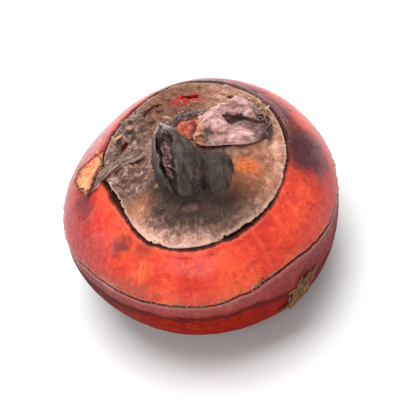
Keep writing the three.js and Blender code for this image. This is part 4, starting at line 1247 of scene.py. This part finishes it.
def make_rear_scale():
    """Broken edges of old scales standing in curved rows behind the orange scale."""
    parts = []
    for n, (dy, w, tall) in enumerate(((0.0, 3.2, 0.95), (0.7, 3.7, 0.75), (-0.6, 2.3, 0.8), (1.35, 2.9, 0.45))):
        rows, cols = 18, 84
        v = np.linspace(0, 1, rows)[:, None]
        u = np.linspace(-1, 1, cols)[None, :]
        v, u = np.broadcast_arrays(v, u)
        x = 1.1 + w * u + 0.15 * noise(vec(u * 3, v * 2, 0 * u + n), 120)
        lean = 0.55 * v + 0.25 * noise(vec(u * 3.5, v * 1.5, 0 * u + n), 124) * v
        y = 5.0 + dy - 0.75 * u**2 + lean + 0.20 * noise(vec(u * 4, v * 0, 0 * u + n), 121)
        h = tall * (1.0 - 0.8 * np.abs(u) ** 1.8) * (1 + 0.5 * noise(vec(u * 6, 0 * u, 0 * u + n), 122) + 0.22 * noise(vec(u * 21, 0 * u, 0 * u + n), 125))
        z = crown_height(x, y) - 0.15 + np.maximum(h, 0.08) * v + 0.07 * noise(vec(u * 14, v * 3, 0 * u + n), 123)
        thick = 0.34 - 0.20 * v
        parts.append(sheet_part(vec(x, y, z), thick, {"along": u * 0.5 + 0.5, "across": v, "kind": float(n)}, flip=True))
    return merged("rear_scale_edges", parts, sharp=60)


def rear_material():
    m = Material("rear_scale_edge", 0.5)
    across = m.attr("across")
    mid = m.noise(1.6, 4, 0.6)
    colour = m.ramp(mid, [(0.34, (0.040, 0.020, 0.016)), (0.50, (0.12, 0.062, 0.050)), (0.68, (0.27, 0.165, 0.145))])
    # painted pale highlight along the top edges
    colour = m.mix(m.mul(m.mul(m.step(0.70, 1.0, across), m.step(0.42, 0.60, m.noise(1.1, 3, 0.6, offset=(7.0, 2.0, 2.0)))), 0.75), colour, (0.40, 0.33, 0.33))
    colour = m.mix(m.step(0.35, 0.0, across), colour, (0.09, 0.025, 0.020))
    m.bump(m.noise(5.0, 3, 0.6), 0.04, 0.6)
    return m.finish(colour, 0.48)


def torn_material():
    m = Material("fresh_scale", 0.6)
    m.bsdf.inputs["Specular IOR Level"].default_value = 0.25
    across, along = m.attr("across"), m.attr("along")
    mid = m.noise(1.1, 4, 0.6)
    fine = m.noise(4.5, 4, 0.65)
    colour = m.ramp(mid, [(0.30, (0.58, 0.115, 0.050)), (0.50, (0.78, 0.24, 0.105)), (0.70, (0.92, 0.42, 0.22))])
    colour = m.mix(m.mul(m.step(0.56, 0.68, fine), 0.5), colour, (0.98, 0.58, 0.36))
    rim = m.math("MAXIMUM", m.step(0.72, 0.98, m.math("ABSOLUTE", across)), m.math("MAXIMUM", m.step(0.12, 0.0, along), m.step(0.86, 1.0, along)))
    rim = m.math("MULTIPLY", rim, m.step(0.32, 0.52, m.noise(1.8, 3, 0.6, offset=(4.0, 4.0, 1.0))))
    colour = m.mix(m.mul(rim, 0.92), colour, (0.075, 0.032, 0.022))
    m.bump(fine, 0.08, 0.7)
    m.bump(mid, 0.10, 0.5)
    return m.finish(colour, 0.6)


def orange_material():
    m = Material("orange_scale", 0.5)
    mid = m.noise(1.5, 4, 0.6)
    fine = m.noise(5.0, 4, 0.6)
    colour = m.ramp(mid, [(0.30, (0.26, 0.030, 0.022)), (0.48, (0.50, 0.085, 0.050)), (0.66, (0.70, 0.19, 0.11)), (0.80, (0.80, 0.38, 0.26))])
    # dark where it tucks under the husk
    # painted shade where the scale tucks under the husk
    tuck = m.spot((1.75, 1.9, 24.6), 0.85, 0.7, (0.9, 1.5, 3.0), 0.6, 1.4)
    colour = m.mix(m.mul(tuck, 0.90), colour, (0.040, 0.010, 0.009))
    m.bump(mid, 0.15, 0.7)
    m.bump(fine, 0.05, 0.6)
    return m.finish(colour, 0.48)


def on_skin(el, az, off):
    return place(el, az, skin_distance(el, az) + off)


def make_torn_scale():
    """A torn, three-cornered flap over the left end of the crown ring."""
    rows, cols = 44, 52
    u = np.linspace(0, 1, rows)[:, None]
    v = np.linspace(-1, 1, cols)[None, :]
    u, v = np.broadcast_arrays(u, v)
    # u runs from the low front corner to the high back one
    az = 184.0 - 25.0 * u + 3.0 * v * (1 - u)
    el = 31.5 + 8.5 * u + v * (6.0 * np.sin(np.clip(u * 1.05 + 0.02, 0, 1) * math.pi) ** 0.75)
    az = az + 1.0 * noise(vec(u * 6, v * 6, 0 * u), 131)
    el = el + 0.8 * noise(vec(u * 7, v * 7, 0 * u + 3), 132)
    curl = 0.75 * np.abs(v) ** 3 + 0.25 * smooth(0.8, 1.0, u)
    off = 0.30 + curl + 0.28 * fbm(vec(u * 5, v * 4, 0 * u), 3, 133)
    return sheet("torn_flap", on_skin(el, az, off), 0.26, {"along": u, "across": v}, sharp=60, flip=True)


def make_ring_scrap():
    """Fibrous shreds left on the lower right flank."""
    rng = np.random.default_rng(19)
    parts = []
    for n in range(62):
        big = n < 16
        az0 = -58 + rng.normal() * 2.9
        el0 = -7.0 + rng.normal() * 2.6 + (az0 + 58) * 0.25
        length = rng.uniform(1.6, 3.2) if big else rng.uniform(0.8, 2.4)
        width = rng.uniform(0.45, 1.0) if big else rng.uniform(0.12, 0.42)
        turn = math.radians(34 + rng.normal() * 20)
        u = np.linspace(-0.5, 0.5, 18)[:, None]
        v = np.linspace(-0.5, 0.5, 7)[None, :]
        u, v = np.broadcast_arrays(u, v)
        taper = np.clip(1 - (np.abs(u) * 2) ** 2.2 * 0.85, 0.1, 1) * (1 + 0.3 * noise(vec(u * 9, 0 * u, 0 * u + n), 141))
        a, b = u * length, v * width * taper
        da = a * math.cos(turn) - b * math.sin(turn)
        de = a * math.sin(turn) + b * math.cos(turn)
        el, az = el0 + de / 0.33, az0 + da / 0.34
        off = 0.12 + (0.013 * n) % 0.25 + 0.13 * noise(vec(u * 4, v * 4, 0 * u + n), 142) + rng.uniform(0, 0.5) * np.clip(np.abs(u) * 2 - 0.5, 0, 1) ** 2 * rng.choice([0.2, 0.9])
        parts.append(sheet_part(on_skin(el, az, off), 0.14 if big else 0.10, {"kind": rng.uniform(0, 1), "along": u + 0.5, "across": v + 0.5}, flip=True))
    return merged("fibrous_scrap_shreds", parts, sharp=60)


def scrap_material():
    m = Material("fibrous_scrap", 0.75)
    m.bsdf.inputs["Specular IOR Level"].default_value = 0.15
    kind, along, across = m.attr("kind"), m.attr("along"), m.attr("across")
    v = m.t.nodes.new("ShaderNodeCombineXYZ")
    m.put(v.inputs[0], m.mul(across, 5.0))
    m.put(v.inputs[1], m.mul(along, 2.0))
    m.put(v.inputs[2], m.mul(kind, 11.0))
    fibre = m.noise(2.0, 5, 0.7, vector=v.outputs[0])
    colour = m.ramp(fibre, [(0.32, (0.050, 0.022, 0.012)), (0.46, (0.19, 0.085, 0.042)), (0.58, (0.38, 0.200, 0.105)), (0.72, (0.62, 0.40, 0.23))])
    colour = m.mix(m.mul(m.step(0.35, 0.9, kind), 0.6), colour, m.ramp(fibre, [(0.36, (0.050, 0.018, 0.012)), (0.64, (0.26, 0.095, 0.042))]))
    m.bump(fibre, 0.08, 0.8)
    m.bump(m.noise(9.0, 3, 0.6), 0.02, 0.5)
    return m.finish(colour, 0.75)


wear(make_husk(), husk_material(), "curled_scale")
wear(make_husk_end(), husk_end_material(), None)
wear(make_orange_scale(), orange_material(), "orange_scale")
wear(make_rear_scale(), rear_material(), "rear_scale")
wear(make_torn_scale(), torn_material(), "torn_scale")
wear(make_ring_scrap(), scrap_material(), "ring_scrap")


# ---------------------------------------------------------------------------------------------
# Loose bits: fringe at the girdle ring and the crown ring, flakes on the leaf
# ---------------------------------------------------------------------------------------------
def sliver(base, along, up, length, width, thick, bend, kind, rows=5):
    across = np.cross(along, up)
    u = np.linspace(0, 1, rows)[:, None]
    v = np.linspace(-0.5, 0.5, 3)[None, :]
    u, v = np.broadcast_arrays(u, v)
    w = width * np.clip(1 - u**1.5 * 0.9, 0.08, 1)
    p = base + along * (u * length)[..., None] + across * (v * w)[..., None] + up * (bend * u**2 * length)[..., None]
    return sheet_part(p, thick, {"kind": kind, "along": u, "across": v + 0.5})


def ring_fringe():
    rng = np.random.default_rng(31)
    parts = []
    for n in range(330):
        az = rng.uniform(-180, 180)
        c, s = math.cos(math.radians(az)), math.sin(math.radians(az))
        if noise(np.array([[c * 5, s * 5, 1.0]]), 151)[0] < -0.05 and rng.uniform() < 0.8:
            continue
        lv = RING_ELEVATION[1] + rng.uniform(0.15, 1.5)
        e = wandered(np.array(lv), np.array(az))
        base = place(e, np.array(az), corm_skin(np.array(lv), np.array(az))[1] - 0.03)
        up = np.array([c, s, 0.15])
        up /= np.linalg.norm(up)
        side = np.array([-s, c, 0.0])
        down = np.array([0, 0, -1.0]) - up * np.dot([0, 0, -1.0], up)
        down /= np.linalg.norm(down)
        tilt = rng.normal() * 0.9
        along = down * math.cos(tilt) + side * math.sin(tilt)
        if rng.uniform() < 0.25:
            along = -along
        length = rng.uniform(0.25, 0.95)
        parts.append(sliver(base + up * 0.05, along, up, length, rng.uniform(0.06, 0.22), 0.05, rng.uniform(-0.05, 0.30), rng.uniform(0, 1)))
    for n in range(26):
        az = rng.normal() * 4.0 - 72 if n < 18 else rng.normal() * 3.0 - 112
        c, s = math.cos(math.radians(az)), math.sin(math.radians(az))
        lv = RING_ELEVATION[1] + rng.uniform(0.2, 0.8)
        e = wandered(np.array(lv), np.array(az))
        base = place(e, np.array(az), corm_skin(np.array(lv), np.array(az))[1] - 0.03)
        up = np.array([c, s, 0.25])
        up /= np.linalg.norm(up)
        rise = np.array([0, 0, 1.0]) - up * up[2]
        along = rise / np.linalg.norm(rise) + np.array([-s, c, 0.0]) * rng.normal() * 0.5
        along /= np.linalg.norm(along)
        parts.append(sliver(base + up * 0.04, along, up, rng.uniform(0.3, 1.0), rng.uniform(0.06, 0.16), 0.05, rng.uniform(0.0, 0.3), rng.uniform(0, 0.08)))
    for n in range(64):
        az = rng.uniform(-180, 180)
        c, s = math.cos(math.radians(az)), math.sin(math.radians(az))
        ex, ey = leaf_edge(np.array([az]))
        x, y = float(ex[0]), float(ey[0])
        z = float(leaf_height(np.array([x * 0.985]), np.array([y * 0.985]), np.array([0.3]))[0])
        base = np.array([x * 0.985, y * 0.985, z - 0.03])
        up = np.array([0.35 * c, 0.35 * s, 0.93])
        up /= np.linalg.norm(up)
        outward = np.array([c, s, -0.35])
        side = np.array([-s, c, 0.0])
        tilt = rng.normal() * 0.6
        along = outward * math.cos(tilt) + side * math.sin(tilt)
        along /= np.linalg.norm(along)
        parts.append(sliver(base, along, up, rng.uniform(0.2, 0.6), rng.uniform(0.06, 0.2), 0.05, rng.uniform(-0.35, 0.25), rng.uniform(0, 1)))
    return merged("ring_fringe", parts, sharp=60)


def leaf_flakes():
    rng = np.random.default_rng(43)
    parts = []
    spots = []
    for n in range(46):
        spots.append((10.3 + rng.normal() * 1.2, 5.4 + rng.normal() * 1.6))
    for n in range(20):
        spots.append((-9.6 + rng.normal() * 1.5, 3.6 + rng.normal() * 1.7))
    for n in range(14):
        spots.append((-2.0 + rng.normal() * 4.5, 8.0 + rng.normal() * 1.6))
    for n in range(14):
        spots.append((-5.0 + rng.normal() * 1.2, -2.0 + rng.normal() * 3.0))
    for n, (x, y) in enumerate(spots):
        if np.hypot(x, y) > 12.6:
            continue
        z = float(leaf_height(np.array([x]), np.array([y]), np.array([3.0]))[0])
        turn = rng.uniform(0, 2 * math.pi)
        along = np.array([math.cos(turn), math.sin(turn), rng.uniform(-0.1, 0.5)])
        along /= np.linalg.norm(along)
        up = np.array([x * 0.03, y * 0.03, 1.0]) + rng.normal(size=3) * 0.2
        across = np.cross(along, up)
        across /= np.linalg.norm(across)
        up = np.cross(across, along)
        if up[2] < 0:
            up = -up
        u = np.linspace(-0.5, 0.5, 9)[:, None]
        v = np.linspace(-0.5, 0.5, 7)[None, :]
        u, v = np.broadcast_arrays(u, v)
        right = n < 46
        length, width = rng.uniform(0.6, 2.0) * (1.2 if right else 1.0), rng.uniform(0.2, 0.6) * (1.5 if right else 1.0)
        shape = np.clip(1 - np.abs(u * 2) ** 2.4 * 0.8, 0.1, 1) * (1 + 0.35 * noise(vec(u * 7, 0 * u, 0 * u + n), 161))
        p = np.array([x, y, z + 0.12]) + along * (u * length)[..., None] + across * (v * width * shape)[..., None]
        p = p + up * (rng.uniform(-0.1, 0.6) * (v * 2) ** 2 * 0.3 + 0.12 * noise(vec(u * 4, v * 4, 0 * u + n), 162))[..., None]
        parts.append(sheet_part(p, 0.08, {"kind": rng.uniform(0.30, 1) ** 0.7 if right else rng.uniform(0, 0.9), "along": u + 0.5, "across": v + 0.5}))
    return merged("leaf_flakes", parts, sharp=60)


def make_torn_strip():
    """Brown shreds of the leaf's own tissue that bridge the crown ring beside the torn flap."""
    rng = np.random.default_rng(77)
    parts = []
    for n in range(9):
        rows, cols = 46, 12
        u = np.linspace(0, 1, rows)[:, None]
        v = np.linspace(-1, 1, cols)[None, :]
        u, v = np.broadcast_arrays(u, v)
        # from beside the flap's low corner, up over the ring and onto the leaf
        start = np.array([-14.7 + rng.normal() * 0.5, 0.3 + rng.normal() * 0.6])
        stop = np.array([-8.4 + rng.normal() * 1.1, 2.3 + rng.normal() * 1.2])
        w = rng.uniform(0.25, 0.70) * (1 - 0.75 * np.abs(2 * u - 0.9) ** 2.2) * (1 + 0.35 * noise(vec(u * 9, 0 * u, 0 * u + n), 171))
        w = np.maximum(w, 0.06)
        d = (stop - start) / np.linalg.norm(stop - start)
        side = np.array([-d[1], d[0]])
        sway = 0.7 * noise(vec(u * 2.2, 0 * u, 0 * u + n), 172)
        x = start[0] + (stop[0] - start[0]) * u + side[0] * (v * w + sway)
        y = start[1] + (stop[1] - start[1]) * u + side[1] * (v * w + sway)
        z = crown_height(x, y) + 0.20 + 0.035 * n + 0.22 * fbm(vec(x / 1.1, y / 1.1, 0 * x + n), 3, 173) * smooth(0, 0.25, u) + 0.22 * np.abs(v) ** 3 * rng.uniform(-0.2, 1.0) - 0.22 * smooth(0.22, 0.0, u)
        parts.append(sheet_part(vec(x, y, z), 0.16, {"kind": rng.uniform(0, 1), "along": u, "across": v * 0.5 + 0.5}))
    return merged("torn_leaf_strip", parts, sharp=60)


def strip_material():
    m = Material("torn_leaf_strip", 0.55)
    m.bsdf.inputs["Specular IOR Level"].default_value = 0.3
    kind, along, across = m.attr("kind"), m.attr("along"), m.attr("across")
    v = m.t.nodes.new("ShaderNodeCombineXYZ")
    m.put(v.inputs[0], m.mul(across, 3.0))
    m.put(v.inputs[1], m.mul(along, 4.0))
    m.put(v.inputs[2], m.mul(kind, 9.0))
    fibre = m.noise(1.6, 5, 0.7, vector=v.outputs[0])
    colour = m.ramp(fibre, [(0.34, (0.045, 0.026, 0.020)), (0.46, (0.14, 0.080, 0.064)), (0.57, (0.27, 0.165, 0.135)), (0.69, (0.50, 0.34, 0.28))])
    colour = m.mix(m.mul(m.step(0.25, 0.0, along), 0.5), colour, (0.30, 0.12, 0.07))
    m.bump(fibre, 0.10, 0.8)
    m.bump(m.noise(6.0, 3, 0.6), 0.03, 0.5)
    return m.finish(colour, 0.5)


def fringe_material():
    m = Material("fringe", 0.7)
    kind = m.attr("kind")
    colour = m.ramp(kind, [(0.0, (0.060, 0.026, 0.016)), (0.35, (0.26, 0.085, 0.040)), (0.6, (0.44, 0.17, 0.075)), (0.85, (0.56, 0.35, 0.22)), (1.0, (0.74, 0.55, 0.42))])
    colour = m.mix(m.step(0.45, 0.62, m.noise(2.2, 3, 0.6)), colour, (0.13, 0.055, 0.032))
    m.bump(m.noise(8.0, 3, 0.6), 0.02, 0.6)
    return m.finish(colour, 0.7)


def flake_material():
    m = Material("leaf_flake", 0.65)
    kind = m.attr("kind")
    colour = m.ramp(kind, [(0.0, (0.030, 0.015, 0.010)), (0.3, (0.11, 0.045, 0.024)), (0.55, (0.26, 0.12, 0.068)), (0.8, (0.42, 0.24, 0.13)), (1.0, (0.52, 0.32, 0.21))])
    colour = m.mix(m.mul(m.step(0.45, 0.62, m.noise(1.8, 4, 0.6)), 0.7), colour, (0.15, 0.075, 0.050))
    m.bump(m.noise(6.0, 3, 0.6), 0.03, 0.6)
    return m.finish(colour, 0.65)


wear(ring_fringe(), fringe_material(), None)
wear(leaf_flakes(), flake_material(), None)
wear(make_torn_strip(), strip_material(), None)


# ---------------------------------------------------------------------------------------------
# Floor, light and camera
# ---------------------------------------------------------------------------------------------
def make_stage():
    size, n = 1.2, 2
    v = [(-size, -size, 0.0), (size, -size, 0.0), (size, size, 0.0), (-size, size, 0.0)]
    me = bpy.data.meshes.new("floor")
    me.from_pydata(v, [], [(0, 1, 2, 3)])
    ob = bpy.data.objects.new("floor", me)
    bpy.context.scene.collection.objects.link(ob)
    m = Material("floor_paper", 0.75)
    tone = m.noise(0.02, 2, 0.5)
    m.finish(m.ramp(tone, [(0.3, (0.80, 0.80, 0.80)), (0.7, (0.83, 0.83, 0.83))]))
    me.materials.append(m.m)


def light(name, kind_size, energy, where, at=(0, 0, 0.012), colour=(1, 1, 1)):
    data = bpy.data.lights.new(name, "AREA")
    data.shape = "RECTANGLE"
    data.size, data.size_y = kind_size
    data.energy = energy
    data.color = colour
    ob = bpy.data.objects.new(name, data)
    ob.location = where
    ob.rotation_euler = (Vector(at) - Vector(where)).to_track_quat("-Z", "Y").to_euler()
    bpy.context.scene.collection.objects.link(ob)
    return ob


make_stage()
light("overhead", (0.40, 0.40), 3.3, (-0.03, 0.08, 0.50))
light("front", (0.34, 0.26), 0.9, (-0.16, -0.40, 0.38))
light("back", (0.60, 0.16), 1.2, (0.08, 0.46, 0.22))
light("left", (0.14, 0.30), 0.25, (-0.46, 0.02, 0.16))

world = bpy.data.worlds.new("studio")
bpy.context.scene.world = world
world.use_nodes = True
world.node_tree.nodes["Background"].inputs["Color"].default_value = (1.0, 1.0, 1.0, 1.0)
world.node_tree.nodes["Background"].inputs["Strength"].default_value = 0.26

cam_data = bpy.data.cameras.new("camera")
cam_data.lens = 180
cam_data.sensor_width = 36
cam_data.clip_start, cam_data.clip_end = 0.01, 10
camera = bpy.data.objects.new("camera", cam_data)
bpy.context.scene.collection.objects.link(camera)
ELEVATION, ROLL, DISTANCE = 50.0, 13.0, 0.285
target = Vector((0.0, 0.0, 0.0133))
e = math.radians(ELEVATION)
back = Vector((0.0, -math.cos(e), math.sin(e)))
camera.location = target + back * DISTANCE
turn = (-back).to_track_quat("-Z", "Y").to_matrix().to_4x4()
camera.rotation_euler = (turn @ Matrix.Rotation(math.radians(-ROLL), 4, "Z")).to_euler()
bpy.context.scene.camera = camera

bpy.context.scene.view_settings.view_transform = "Standard"
bpy.context.scene.view_settings.look = "None"
